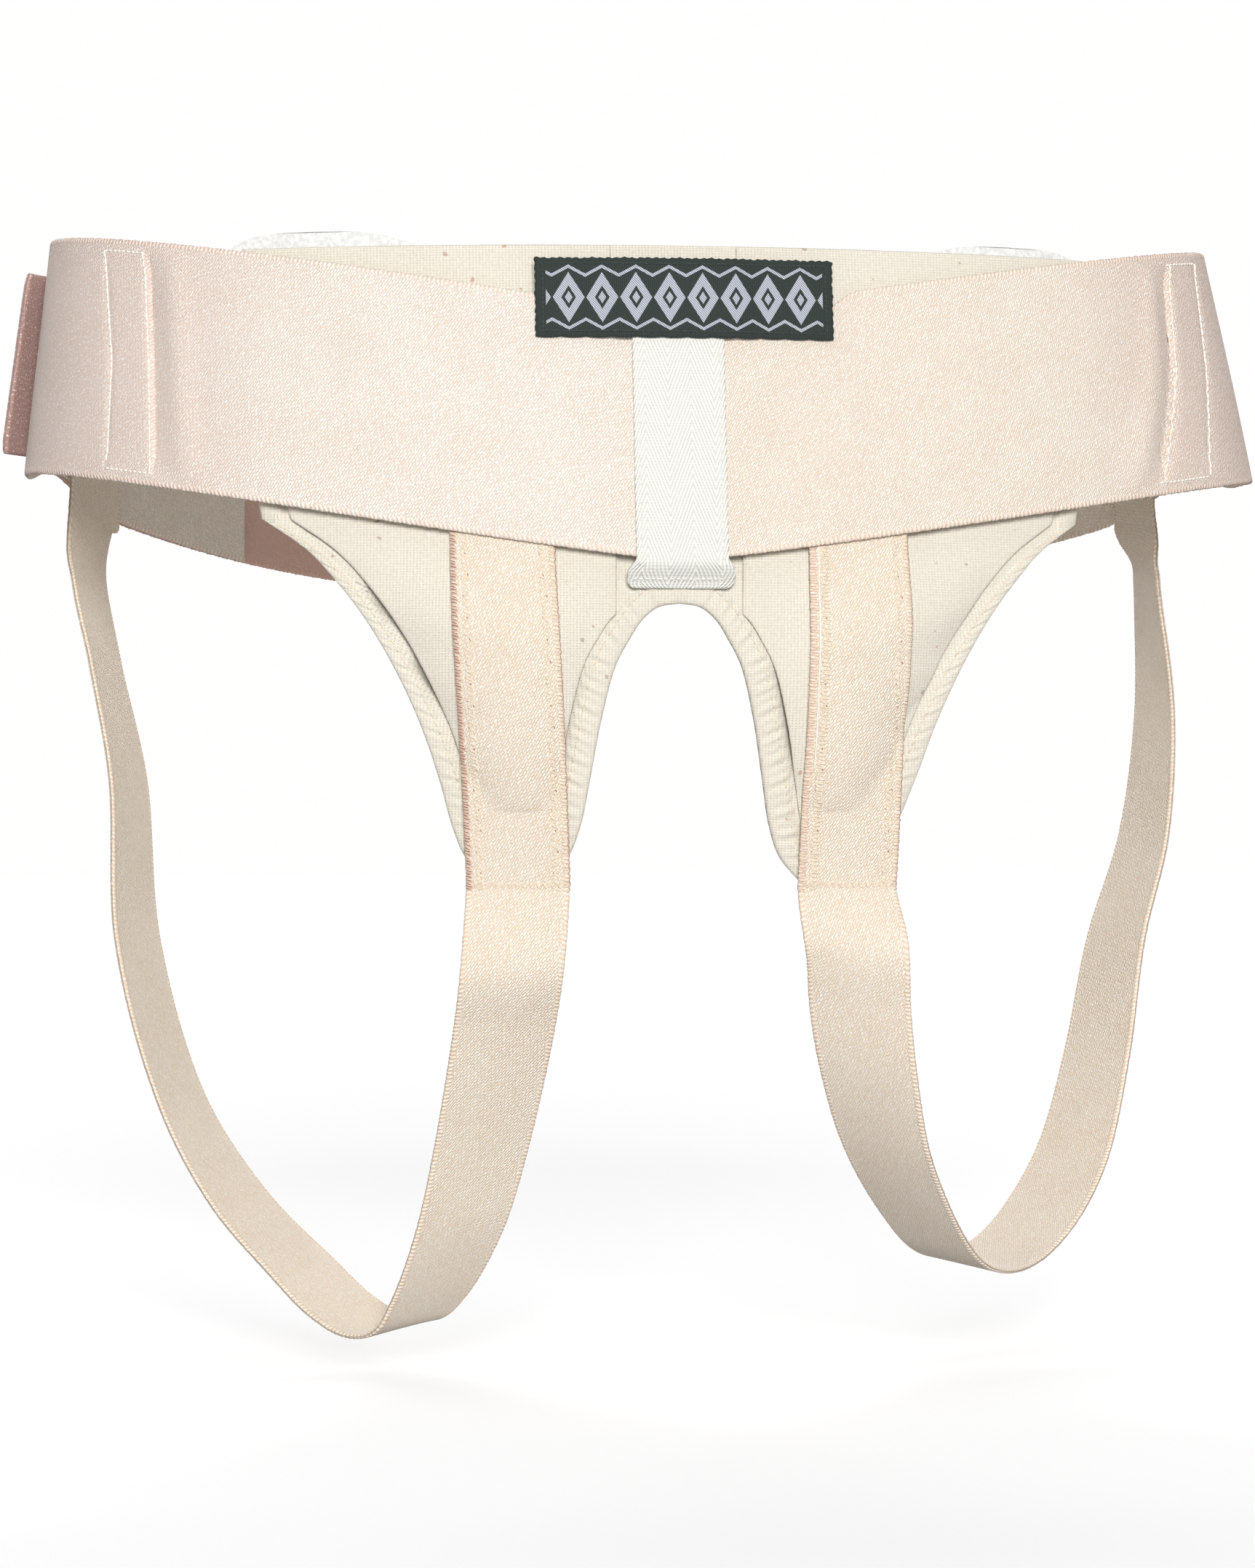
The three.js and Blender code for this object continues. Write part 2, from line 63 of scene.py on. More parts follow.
# Sizes shared with the solids
LOOP_WIDTH, LOOP_DEPTH = 396, 226
SIDE_FLARE, FRONT_FLARE = 12, 11
SIDE_LOW, FRONT_DIP, REAR_DIP = 29, 31, 34
HIP_RIDE, HIP_LEAN = 7, 4
HIP_PLACE, HIP_REACH = 0.33, 0.24
FRONT_CURVE, REAR_CURVE, TOP_CURVE = 1.15, 2.4, 0.95
BAND_HEIGHT, BAND_THICK = 75, 1.8
SEAM_GAP, FOLD_GAP = 0.35, 0.9
INNER_END, OUTER_END = math.radians(142), math.radians(255)
LAP_EASE = math.radians(25)
CORNER_DROP = 5
TAB_HEIGHT, TAB_THICK, TAB_OVERLAP, TAB_REACH = 58, 2, 12, 25
TAB_CUT, TAB_DROP, TAB_CORNER = 5, 3.5, 6
PANEL_WIDTH, PANEL_RISE, PANEL_FLARE, PANEL_THICK = 265, 23, 8, 1.4
LOBE_SPREAD, LOBE_DROP, LOBE_TUCK = 3.5, 97, 13
HEM_WIDTH, HEM_THICK, HEM_STEP, TIP_ROUND = 7.5, 2.6, 1, 2.5
POCKET_THICK, POCKET_INSET, POCKET_SPREAD = 1.2, 1.4, 39
PAD_THICK, PAD_DROP, PAD_REACH, PAD_FORWARD = 11, 130, 5, 0.5
PAD_RISE = {-1: 5, 1: 3}
STRAP_WIDTH, STRAP_THICK = 31.5, 1.6
STRAP_TUCK, STRAP_SEWN, STRAP_ENTRY = 14, 20, 3
STRAP_TOP = {-1: 54, 1: 55.5}
STRAP_FOOT = {-1: 48, 1: 54}
STRAP_REAR = {-1: math.radians(-116.5), 1: math.radians(117.6)}
GATHER = {-1: 0.8, 1: 0.5}
LEG_DROP = {-1: 141, 1: 123.5}
LEG_ROLL = 0.11
TAPE_WIDTH, TAPE_THICK, TAPE_FOOT, TAPE_TOP, FOOT_FLARE = 28, 1, 8, 9, 2.5
LABEL_WIDTH, LABEL_HEIGHT, LABEL_THICK = 91, 24.5, 1
LABEL_RISE, LABEL_SHIFT = 18.5, 2.5

BAND_RISE = math.sqrt(BAND_HEIGHT**2 - SIDE_FLARE**2)
LOW_SIDE = -SIDE_LOW
LOW_FRONT = LOW_SIDE - FRONT_DIP
LOW_REAR = LOW_SIDE - REAR_DIP
PANEL_TOP = LOW_FRONT + BAND_RISE + PANEL_RISE
LOBE_TIP = LOW_FRONT - LOBE_DROP
BAND_FACE = BAND_THICK / 2
STRAP_FACE = -BAND_FACE - SEAM_GAP
POCKET_FACE = STRAP_FACE - STRAP_THICK - FOLD_GAP
PAD_PLANE = POCKET_FACE - POCKET_THICK - FOLD_GAP
PANEL_FACE = POCKET_FACE - POCKET_THICK - SEAM_GAP
LAP_OUT = BAND_THICK + SEAM_GAP
FRONT_GAP = math.asin(SEAM_GAP / LOOP_WIDTH)

# Sizes of the finish, in millimetres
INNER_FACE = 400  # how far the inner faces' places are moved, so that a material can tell them apart
LAP_LENGTH = 530  # where the outer length's bare lining begins, from its front end
SELVEDGE = 1.6
YARN_LONG, YARN_HIGH, YARN_GAP, YARN_JITTER, YARN_LOOP = 1.7, 0.72, 0.24, 0.85, 1.4
KNIT_WALE, KNIT_COURSE = 1.0, 0.8
TWILL_COLUMN, TWILL_RIB = 7.0, 2.7
LOZENGE_PITCH, LABEL_MARGIN = 10.1, 3.2
CLOTH_COLUMN = 0.62
SELVEDGE_STEPS = [0, 0.3, 0.8, 1.5, 2.3, 3.1, 4]
PATCH_STEPS, TAB_STEPS = SELVEDGE_STEPS[:3], [0, 0.4, 1]
HEM_SEAM = HEM_WIDTH - 1.1

# Outlines in shares: out of half the panel's width, down of the lobe's drop
LOBE_EDGE = [
    (0.958, -0.14), (0.856, -0.04), (0.781, 0.07), (0.723, 0.175), (0.657, 0.325),
    (0.596, 0.5), (0.551, 0.67), (0.517, 0.825), (0.485, 0.92), (0.43, 1),
]
ARCH_EDGE = [
    (0, 0.128), (0.05, 0.14), (0.087, 0.18), (0.116, 0.24), (0.147, 0.32),
    (0.179, 0.49), (0.202, 0.67), (0.222, 0.82), (0.25, 0.92), (0.302, 1),
]
# Pad outline from its lower end up: middle and half width in shares of half the panel's width
PAD_MIDDLE = [0.365, 0.385, 0.422, 0.465, 0.535, 0.605, 0.65, 0.69, 0.83]
PAD_HALF = [0.06, 0.115, 0.17, 0.23, 0.31, 0.355, 0.365, 0.36, 0.375]
# Leg loops: out and back in shares of half the loop, down in shares of the leg drop, turn in degrees
LEG_ROUTE = {
    -1: [
        (0.252, -0.86, 0.19, 0), (0.259, -0.771, 0.323, 5), (0.283, -0.593, 0.584, 16),
        (0.311, -0.481, 0.773, 22), (0.354, -0.366, 0.93, 32), (0.388, -0.31, 0.99, 40),
        (0.43, -0.24, 1, 44), (0.483, -0.15, 0.96, 45), (0.539, -0.052, 0.883, 46),
        (0.638, 0.114, 0.731, 51), (0.729, 0.266, 0.503, 59), (0.796, 0.36, 0.147, 61),
        (0.811, 0.398, -0.225, 66), (0.848, 0.437, -0.495, 70), (0.875, 0.462, -0.705, 68),
    ],
    1: [
        (0.284, -0.865, 0.17, 12), (0.294, -0.809, 0.318, 20), (0.315, -0.737, 0.483, 30),
        (0.355, -0.61, 0.675, 42), (0.43, -0.425, 0.873, 50), (0.486, -0.32, 0.97, 53),
        (0.545, -0.21, 1, 54), (0.608, -0.1, 0.977, 54), (0.671, 0.004, 0.903, 54),
        (0.754, 0.18, 0.73, 56), (0.808, 0.288, 0.478, 60), (0.85, 0.36, 0.172, 66),
        (0.906, 0.42, -0.109, 72), (0.927, 0.44, -0.438, 79), (0.915, 0.435, -0.74, 88),
        (0.909, 0.435, -0.85, 89),
    ],
}


# The loop's surface

def smooth(value, low, high):
    share = np.clip((value - low) / (high - low), 0, 1)
    return share * share * (3 - 2 * share)


def mix(a, b, share):
    return a + (b - a) * share


def half_width(z):
    return LOOP_WIDTH / 2 - SIDE_FLARE * np.clip((z - LOW_SIDE) / BAND_RISE, 0, 1.2)


def lean(angle, z):
    return HIP_LEAN * np.sin(angle) ** 2 * np.clip(1 - (z - LOW_SIDE) / BAND_RISE, 0, 1)


def half_depth(z):
    climb = (z - LOW_FRONT) / BAND_RISE
    below = LOBE_TUCK * ((LOW_FRONT - z) / LOBE_DROP) ** 2
    return LOOP_DEPTH / 2 - np.where(climb > 0, FRONT_FLARE * climb, below)


def loop_point(angle, z, out):
    angle, z, out = np.broadcast_arrays(angle, z, out)
    wide, deep = half_width(z), half_depth(z)
    across, ahead_part = np.sin(angle) / wide, -np.cos(angle) / deep
    size = np.hypot(across, ahead_part)
    x = wide * np.sin(angle) + lean(angle, z) + across / size * out
    y = -deep * np.cos(angle) + ahead_part / size * out
    return np.stack([x, y, z + 0.0 * x], axis=-1)


def front_angle(x, z):
    first = np.arcsin(np.clip(x / half_width(z), -1, 1))
    return np.arcsin(np.clip((x - lean(first, z)) / half_width(z), -1, 1))


def front_point(x, z, out):
    return loop_point(front_angle(x, z), z, out)


def lower_edge(angle):
    side = np.abs(np.sin(angle))
    behind_hip = np.clip((np.abs(np.cos(angle)) - HIP_PLACE) / HIP_REACH, -1, 1)
    ride = HIP_RIDE * np.cos(behind_hip * math.pi / 2) ** 2
    front = LOW_FRONT + FRONT_DIP * side**FRONT_CURVE
    return np.where(np.cos(angle) > 0, front, LOW_REAR + REAR_DIP * side**REAR_CURVE + ride)


def upper_edge(angle):
    front = LOW_FRONT + BAND_RISE + FRONT_DIP * np.abs(np.sin(angle)) ** TOP_CURVE
    return np.where(np.cos(angle) > 0, front, lower_edge(angle) + BAND_RISE)


def spline(points, per_span):
    """Centripetal Catmull-Rom curve through the points, with per_span steps between two of them."""
    points = np.asarray(points, float)
    ends = [2 * points[0] - points[1], *points, 2 * points[-1] - points[-2]]
    share = np.arange(per_span)[:, None] / per_span
    made = []
    for p0, p1, p2, p3 in zip(ends, ends[1:], ends[2:], ends[3:]):
        d0, d1, d2 = (np.linalg.norm(b - a) ** 0.5 for a, b in ((p0, p1), (p1, p2), (p2, p3)))
        t1 = ((p1 - p0) / d0 - (p2 - p0) / (d0 + d1) + (p2 - p1) / d1) * d1
        t2 = ((p2 - p1) / d1 - (p3 - p1) / (d1 + d2) + (p3 - p2) / d2) * d1
        bend = -3 * p1 + 3 * p2 - 2 * t1 - t2
        made.append(p1 + t1 * share + bend * share**2 + (2 * p1 - 2 * p2 + t1 + t2) * share**3)
    return np.vstack([*made, points[-1:]])


def lengths(points):
    """Distance along a line of points, from 0."""
    steps = np.linalg.norm(np.diff(points, axis=0), axis=-1)
    return np.concatenate([[0], np.cumsum(steps)])


def along(points, places, run=None):
    """The points at these distances along a line, whose own distances may be given as run."""
    run = lengths(points) if run is None else run
    return np.stack([np.interp(places, run, points[:, k]) for k in range(points.shape[1])], axis=-1)


def outline(rows):
    return spline([(x * PANEL_WIDTH / 2, LOW_FRONT - down * LOBE_DROP) for x, down in rows], 30)


LOBE_CURVE, ARCH_CURVE = outline(LOBE_EDGE), outline(ARCH_EDGE)


def out_at_height(curve, z):
    return np.interp(-z, -curve[:, 1], curve[:, 0])


def lobe_out(z):
    corner = LOBE_CURVE[0]
    above = mix(corner[0], PANEL_WIDTH / 2 + PANEL_FLARE, (z - corner[1]) / (PANEL_TOP - corner[1]))
    return np.where(z < corner[1], out_at_height(LOBE_CURVE, z), above)


def spread(side, z, share):
    if side < 0:
        return 0 * z
    return LOBE_SPREAD * share * smooth(z, LOBE_TIP, LOBE_TIP + LOBE_DROP * 0.4)


def from_rows(rows, share):
    place = np.clip(share, 0, 1) * (len(rows) - 1)
    index = np.minimum(np.floor(place), len(rows) - 2).astype(int)
    rows = np.asarray(rows)
    return mix(rows[index], rows[index + 1], smooth(place - index, 0, 1))


def pad_at(lengthwise):
    share = (lengthwise + 1) / 2
    end = np.maximum(0, 1 - np.abs(lengthwise) ** 3.2)
    middle = from_rows(PAD_MIDDLE, share) * PANEL_WIDTH / 2
    half = from_rows(PAD_HALF, share) * PANEL_WIDTH / 2 * end ** (1 / 3.2)
    return middle, half, PAD_THICK * np.maximum(0, 1 - lengthwise**4) ** 0.6


def pad_fill(side, x, z, reach):
    top = PANEL_TOP + PAD_RISE[side] + reach
    foot = -PAD_DROP - reach
    lengthwise = np.clip((2 * z - top - foot) / (top - foot), -1, 1)
    middle, half, thick = pad_at(lengthwise)
    share = (np.abs(x) - middle) / (half + reach)
    return thick * np.maximum(0, 1 - share**2)


def forward_share(x, z):
    below = lower_edge(front_angle(x, z)) - z
    return PAD_FORWARD * smooth(below, 3, 33)


def pocket_out(side, x, z):
    return forward_share(x, z) * pad_fill(side, x, z, PAD_REACH)


# Meshes

def unit(vectors):
    return vectors / (np.linalg.norm(vectors, axis=-1, keepdims=True) + 1e-9)


def pair(first, second):
    return np.stack(np.broadcast_arrays(first, second), axis=-1)


def index_of(value, table):
    """The fractional index of a value in a rising table."""
    return np.interp(value, table, np.arange(len(table)))


def to_edge(place, size):
    """Distance to the nearer edge of a strip."""
    return np.minimum(place, size - place)


def new_object(name, points, faces, material, uv=None):
    mesh = bpy.data.meshes.new(name)
    mesh.from_pydata((np.asarray(points) / 1000).tolist(), [], faces)
    mesh.polygons.foreach_set("use_smooth", np.ones(len(faces), bool))
    if uv is not None:
        corner = np.zeros(len(mesh.loops), int)
        mesh.loops.foreach_get("vertex_index", corner)
        layer = mesh.uv_layers.new(name="cloth")
        layer.data.foreach_set("uv", np.asarray(uv, np.float32)[corner].ravel())
    mesh.materials.append(material)
    mesh.update()
    made = bpy.data.objects.new(name, mesh)
    scene.collection.objects.link(made)
    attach(made, "root")
    return made


def grid_faces(ids):
    quads = np.stack([ids[:-1, :-1], ids[1:, :-1], ids[1:, 1:], ids[:-1, 1:]], axis=-1)
    return quads.reshape(-1, 4)


class Cloth:
    """A closed sheet on a grid of points: rows run downwards and columns to the viewer's right, seen from
    outside. front and back are its two faces' distances from the grid, uv is in millimetres."""

    def __init__(self, name, grid, uv, front, back, material):
        self.normal = unit(np.cross(np.gradient(grid, axis=0), np.gradient(grid, axis=1)))
        self.face = grid + self.normal * np.broadcast_to(front, grid.shape[:2])[..., None]
        behind = grid + self.normal * np.broadcast_to(back, grid.shape[:2])[..., None]
        count = grid.shape[0] * grid.shape[1]
        ids = np.arange(count).reshape(grid.shape[:2])
        rim = np.concatenate([ids[0, ::-1], ids[1:, 0], ids[-1, 1:], ids[-2:0:-1, -1]])
        after = np.roll(rim, -1)
        sides = np.stack([rim, rim + count, after + count, after], axis=-1)
        faces = np.vstack([grid_faces(ids), grid_faces(ids)[:, ::-1] + count, sides])
        points = np.vstack([self.face.reshape(-1, 3), behind.reshape(-1, 3)])
        both = np.vstack([uv.reshape(-1, 2), uv.reshape(-1, 2) + [0, INNER_FACE]])
        self.piece = new_object(name, points, faces.tolist(), material, both)

    def at(self, row, column, lift=0):
        """Points over the outer face at fractional rows and columns."""
        rows, columns = self.face.shape[:2]
        r0 = np.clip(np.floor(row), 0, rows - 2).astype(int)
        c0 = np.clip(np.floor(column), 0, columns - 2).astype(int)
        r, c = (row - r0)[..., None], (column - c0)[..., None]
        made = []
        for a in (self.face, self.normal):
            top = mix(a[r0, c0], a[r0, c0 + 1], c)
            made.append(mix(top, mix(a[r0 + 1, c0], a[r0 + 1, c0 + 1], c), r))
        return made[0] + made[1] * np.asarray(lift)[..., None]


EDGE_THIN = 0.3


def edge_profile(distance, reach):
    """Half thickness near a cut or woven edge, as a share of the full one."""
    left = 1 - np.clip(distance / reach, 0, 1)
    return EDGE_THIN + (1 - EDGE_THIN) * np.sqrt(np.clip(1 - left**2, 0, 1))


def graded(width, edge_steps, step):
    """Places across a width, close together at both edges."""
    near = np.asarray(edge_steps, float)
    inner = np.linspace(near[-1], width - near[-1], max(2, round((width - 2 * near[-1]) / step) + 1))
    return np.concatenate([near[:-1], inner, width - near[:-1][::-1]])


TUBE_SIDE = np.array([0.31, -0.87, 0.38])  # a direction that no thread follows
STITCH_PLACES = np.array([0, 0.15, 0.5, 0.85, 1])
HATCH_PLACES = np.array([0, 0.2, 0.5, 0.8, 1])
THREAD_END = 0.45
STAY_THREAD, TAB_THREAD, FINE_THREAD, RED_LINE, PINK_LINE = 0.34, 0.26, 0.22, 0.18, 0.2
STRAP_THREAD, CORD_THREAD = 0.23, 0.3


def tubes(name, paths, radius, material, sides=5):
    """Threads: one closed tube along each path."""
    points, faces, start = [], [], 0
    turn = np.linspace(0, 2 * math.pi, sides, endpoint=False)[:, None]
    for path in paths:
        path = np.asarray(path, float)
        run = unit(np.gradient(path, axis=0))
        first = unit(np.cross(run, TUBE_SIDE))
        second = np.cross(run, first)
        size = np.full(len(path), radius)
        size[[0, -1]] *= THREAD_END
        ring = first[:, None] * np.cos(turn) + second[:, None] * np.sin(turn)
        points.append((path[:, None] + ring * size[:, None, None]).reshape(-1, 3))
        ids = start + np.arange(len(path) * sides).reshape(len(path), sides)
        faces += grid_faces(np.hstack([ids, ids[:, :1]]))[:, ::-1].tolist()
        faces += [ids[0][::-1].tolist(), ids[-1].tolist()]
        start += len(path) * sides
    return new_object(name, np.vstack(points), faces, material)


def stitch_paths(cloth, rows, columns, pitch, lift=0.12, cover=0.8):
    """Single stitches along a line of fractional rows and columns on a cloth."""
    rows, columns = np.broadcast_arrays(rows, columns)
    run = lengths(cloth.at(rows, columns))
    height = np.array([-0.15, lift, lift + 0.06, lift, -0.15])
    paths = []
    for k in range(int(run[-1] / pitch)):
        places = (k + STITCH_PLACES * cover) * pitch
        paths.append(cloth.at(np.interp(places, run, rows), np.interp(places, run, columns), height))
    return paths


def wobble(length, pitch, size, seed):
    """Small unevenness along a woven edge."""
    turns = 2 * math.pi * length / pitch
    slow = np.sin(turns * 0.37 + seed) * np.sin(turns * 0.093 + 2 * seed)
    return size * (0.6 * np.sin(turns) + 0.4 * slow)


# Materials

def tone(red, green, blue):
    """A display colour of 0 to 255 as a linear colour."""
    return tuple(((c / 255 + 0.055) / 1.055) ** 2.4 for c in (red, green, blue)) + (1,)


def shaded(color, *factors):
    return tuple(c * f for c, f in zip(color, factors)) + (1,)


class Shader:
    def __init__(self, name, rough, sheen=0.0, specular=0.25):
        self.material = bpy.data.materials.new(name)
        self.material.use_nodes = True
        self.tree = self.material.node_tree
        self.shader = self.tree.nodes["Principled BSDF"]
        self.shader.inputs["Roughness"].default_value = rough
        self.shader.inputs["Sheen Weight"].default_value = sheen
        self.shader.inputs["Sheen Roughness"].default_value = 0.5
        self.shader.inputs["Specular IOR Level"].default_value = specular

    def node(self, kind, inputs=(), output=0, **settings):
        made = self.tree.nodes.new("ShaderNode" + kind)
        for key, value in settings.items():
            setattr(made, key, value)
        for key, value in dict(inputs).items():
            if isinstance(value, bpy.types.NodeSocket):
                self.tree.links.new(value, made.inputs[key])
            else:
                made.inputs[key].default_value = value
        return made.outputs[output]

    def math(self, operation, first, second=0.0, third=0.0):
        inputs = {0: first, 1: second, 2: third}
        return self.node("Math", inputs, operation=operation)

    def times(self, first, second):
        return self.math("MULTIPLY", first, second)

    def scaled(self, value, factor, plus):
        return self.math("MULTIPLY_ADD", value, factor, plus)

    def ramp(self, value, low, high, to_low=0.0, to_high=1.0):
        inputs = {"Value": value, "From Min": low, "From Max": high, "To Min": to_low, "To Max": to_high}
        return self.node("MapRange", inputs, interpolation_type="SMOOTHSTEP")

    def blend(self, share, first, second):
        inputs = {0: share, 6: first, 7: second}
        return self.node("Mix", inputs, output=2, data_type="RGBA")

    def uv(self):
        return self.node("UVMap", uv_map="cloth")

    def split(self, vector):
        first = self.node("SeparateXYZ", {0: vector})
        return first, first.node.outputs[1]

    def wave(self, value, pitch, shift=0.0):
        """Goes from 0 to 1 and back once in each pitch."""
        turns = self.scaled(value, 2 * math.pi / pitch, shift)
        return self.scaled(self.math("SINE", turns), 0.5, 0.5)

    def turned(self, vector, degrees, scale=(1, 1, 1)):
        turn = (0, 0, math.radians(degrees))
        return self.node("Mapping", {"Vector": vector, "Rotation": turn, "Scale": scale})

    def noise(self, vector, scale, detail=2.0, rough=0.5):
        inputs = {"Vector": vector, "Scale": scale, "Detail": detail, "Roughness": rough}
        return self.node("TexNoise", inputs)

    def bricks(self, vector, width, height, gap):
        inputs = {
            "Vector": vector, "Color1": (0, 0, 0, 1), "Color2": (1, 1, 1, 1), "Mortar": (0.5, 0.5, 0.5, 1),
            "Brick Width": width, "Row Height": height, "Mortar Size": gap, "Mortar Smooth": 1.0,
            "Scale": 1.0,
        }
        color = self.node("TexBrick", inputs)
        return color, color.node.outputs["Fac"]

    def finish(self, color, height, depth, strength=1.0):
        """Sets the colour and the relief, whose height of 1 is depth metres."""
        self.tree.links.new(color, self.shader.inputs["Base Color"])
        inputs = {"Strength": strength, "Distance": depth, "Height": height}
        self.tree.links.new(self.node("Bump", inputs), self.shader.inputs["Normal"])
        return self.material


def elastic(name, width, light, dark, slant=58, side_shade_span=None, lining=None):
    """Woven elastic: short slanting dashes of yarn, mottled, with small loops along both edges. Between two
    given lengths its outer face turns pinker, a painted shade for the sides that turn away from the light,
    and its inner face has a pink lining past another."""
    s = Shader(name, 0.82, 0.2)
    uv = s.uv()
    length, across = s.split(uv)
    inner = s.math("GREATER_THAN", across, INNER_FACE / 2)
    across = s.scaled(inner, -INNER_FACE, across)
    jitter = s.node("TexNoise", {"Vector": uv, "Scale": 0.9, "Detail": 1.0}, output=1)
    jitter = s.node("VectorMath", {0: jitter, 1: (YARN_JITTER,) * 3}, operation="MULTIPLY")
    shaken = s.node("VectorMath", {0: uv, 1: jitter})
    yarn, gap = s.bricks(s.turned(shaken, slant), YARN_LONG, YARN_HIGH, YARN_GAP)
    grain = s.noise(s.turned(uv, slant, (0.6, 1.9, 1)), 1.0, 3, 0.75)
    cloud = s.noise(uv, 0.045, 3, 0.65)
    shade = s.scaled(yarn, 0.45, s.times(s.ramp(grain, 0.32, 0.68), 0.45))
    shade = s.math("ADD", shade, s.times(s.ramp(cloud, 0.35, 0.65), 0.15))
    shadow = shaded(dark, 0.74, 0.62, 0.56)
    color = s.blend(s.times(gap, 0.36), s.blend(shade, dark, light), shadow)
    # Painted shade: the outer face turns pinker and darker along the sides and back, where the band turns
    # away from the light
    if side_shade_span:
        painted_side_shade = s.times(s.ramp(length, *side_shade_span, 0.0, 0.42), s.math("SUBTRACT", 1.0, inner))
        color = s.blend(painted_side_shade, color, tone(218, 184, 172))
    # Painted highlights: small white glints scattered over the yarn
    painted_glint = s.ramp(s.noise(uv, 1.2, 2, 0.6), 0.54, 0.66, 0.0, 0.7)
    color = s.blend(painted_glint, color, (0.98, 0.965, 0.94, 1))
    if lining:
        start, tint = lining
        lined = s.times(inner, s.ramp(length, start, start + 1))
        color = s.blend(s.times(lined, 0.7), color, tint)
    edge = s.math("MINIMUM", across, s.math("SUBTRACT", width, across))
    in_edge = s.ramp(edge, 1.9, 1.2)
    slip = s.scaled(s.noise(uv, 0.5, 1, 0.5), 2.4, s.times(edge, 0.9))
    loops = s.wave(length, YARN_LOOP, slip)
    in_loops = s.blend(s.ramp(loops, 0.1, 0.8), shadow, color)
    color = s.blend(s.times(in_edge, 0.5), color, in_loops)
    relief = s.math("SUBTRACT", s.times(grain, 0.5), gap)
    height = s.node("Mix", {0: in_edge, 2: relief, 3: loops}, data_type="FLOAT")
    return s.finish(color, height, 0.0003, 0.75)


def knit(name, light, dark):
    """Fine knit: a grid of small dots, a little uneven."""
    s = Shader(name, 0.9, 0.3, 0.2)
    uv = s.uv()
    length, across = s.split(uv)
    dots = s.times(s.wave(length, KNIT_WALE), s.wave(across, KNIT_COURSE))
    holes = s.ramp(dots, 0.35, 0.95)
    grain = s.noise(uv, 0.9, 3, 0.7)
    cloud = s.times(s.noise(uv, 0.03, 3, 0.6), 0.5)
    color = s.blend(s.scaled(s.ramp(grain, 0.3, 0.7), 0.5, cloud), dark, light)
    color = s.blend(s.times(holes, 0.45), color, shaded(dark, 0.78, 0.72, 0.66))
    fleck = s.ramp(s.noise(uv, 0.28, 1, 0.4), 0.735, 0.76)
    color = s.blend(s.times(fleck, 0.55), color, tone(170, 120, 98))
    height = s.math("SUBTRACT", s.times(grain, 0.7), holes)
    return s.finish(color, height, 0.00018, 0.7)


def plain_thread(name, color, color_to):
    s = Shader(name, 0.7, 0.2)
    place = s.node("TexCoord", output=3)
    grain = s.noise(place, 900, 2, 0.6)
    return s.finish(s.blend(grain, color, color_to), grain, 0.00008)


def foam_cover(name):
    s = Shader(name, 0.85, 0.3, 0.2)
    place = s.node("TexCoord", output=3)
    grain = s.noise(place, 700, 4, 0.65)
    color = s.blend(s.ramp(grain, 0.3, 0.7), tone(216, 216, 213), tone(242, 242, 240))
    return s.finish(color, grain, 0.0003, 0.6)


def herringbone(name):
    """White twill tape whose ribs run in steep V columns."""
    s = Shader(name, 0.86, 0.25, 0.2)
    uv = s.uv()
    length, across = s.split(uv)
    zigzag = s.math("PINGPONG", s.math("ADD", across, TWILL_COLUMN / 2), TWILL_COLUMN)
    rib = s.wave(s.scaled(zigzag, 2.6, length), TWILL_RIB)
    grain = s.noise(uv, 1.3, 3, 0.7)
    height = s.scaled(s.wave(length, 0.9), 0.25, s.scaled(grain, 0.3, rib))
    color = s.blend(s.ramp(height, 0.25, 0.85), tone(222, 221, 212), tone(249, 248, 242))
    return s.finish(color, height, 0.0003, 0.9)


def woven_label(name):
    """Dark woven ribbon with a silver row of lozenges between two zigzag lines."""
    s = Shader(name, 0.7, 0.15, 0.3)
    uv = s.uv()
    length, across = s.split(uv)
    from_middle = s.math("ABSOLUTE", s.math("SUBTRACT", across, LABEL_HEIGHT / 2))
    reach = s.math("PINGPONG", length, LOZENGE_PITCH / 2)
    lozenge = s.scaled(from_middle, 0.62, reach)
    ring = s.times(s.ramp(lozenge, 4.9, 4.7), s.ramp(lozenge, 2.1, 2.3))
    heart = s.ramp(lozenge, 1.3, 1.1)
    from_line = s.math("SUBTRACT", s.scaled(reach, -0.55, 9.5), from_middle)
    line = s.ramp(s.math("ABSOLUTE", from_line), 0.6, 0.45)
    from_end = s.math("MINIMUM", length, s.math("SUBTRACT", LABEL_WIDTH, length))
    inside = s.ramp(from_end, LABEL_MARGIN, LABEL_MARGIN + 0.2)
    silver = s.times(s.math("MAXIMUM", s.math("MAXIMUM", ring, heart), line), inside)
    hatch = s.wave(s.math("SUBTRACT", length, across), 0.75)
    weft = s.wave(length, 0.6)
    grain = s.noise(uv, 1.6, 3, 0.7)
    dull = s.scaled(weft, 0.35, s.times(grain, 0.8))
    bright = s.scaled(hatch, 0.75, s.times(grain, 0.25))
    ground = s.blend(dull, tone(14, 20, 18), tone(52, 64, 59))
    color = s.blend(silver, ground, s.blend(bright, tone(104, 108, 118), tone(214, 218, 230)))
    threads = s.scaled(hatch, 0.25, s.times(weft, 0.3))
    return s.finish(color, s.scaled(silver, 0.6, threads), 0.0002, 0.8)


def hook_fabric(name):
    s = Shader(name, 0.95, 0.4, 0.15)
    uv = s.uv()
    fuzz = s.noise(uv, 1.5, 4, 0.75)
    cloud = s.noise(uv, 0.12, 2, 0.5)
    color = s.blend(s.ramp(fuzz, 0.3, 0.7), tone(160, 110, 100), tone(236, 200, 190))
    color = s.blend(s.ramp(cloud, 0.35, 0.65, 0.0, 0.35), color, tone(206, 154, 142))
    color = s.blend(s.ramp(s.noise(uv, 1.1, 1, 0.4), 0.6, 0.68, 0.0, 0.85), color, tone(252, 240, 230))
    return s.finish(color, fuzz, 0.0008, 1.0)


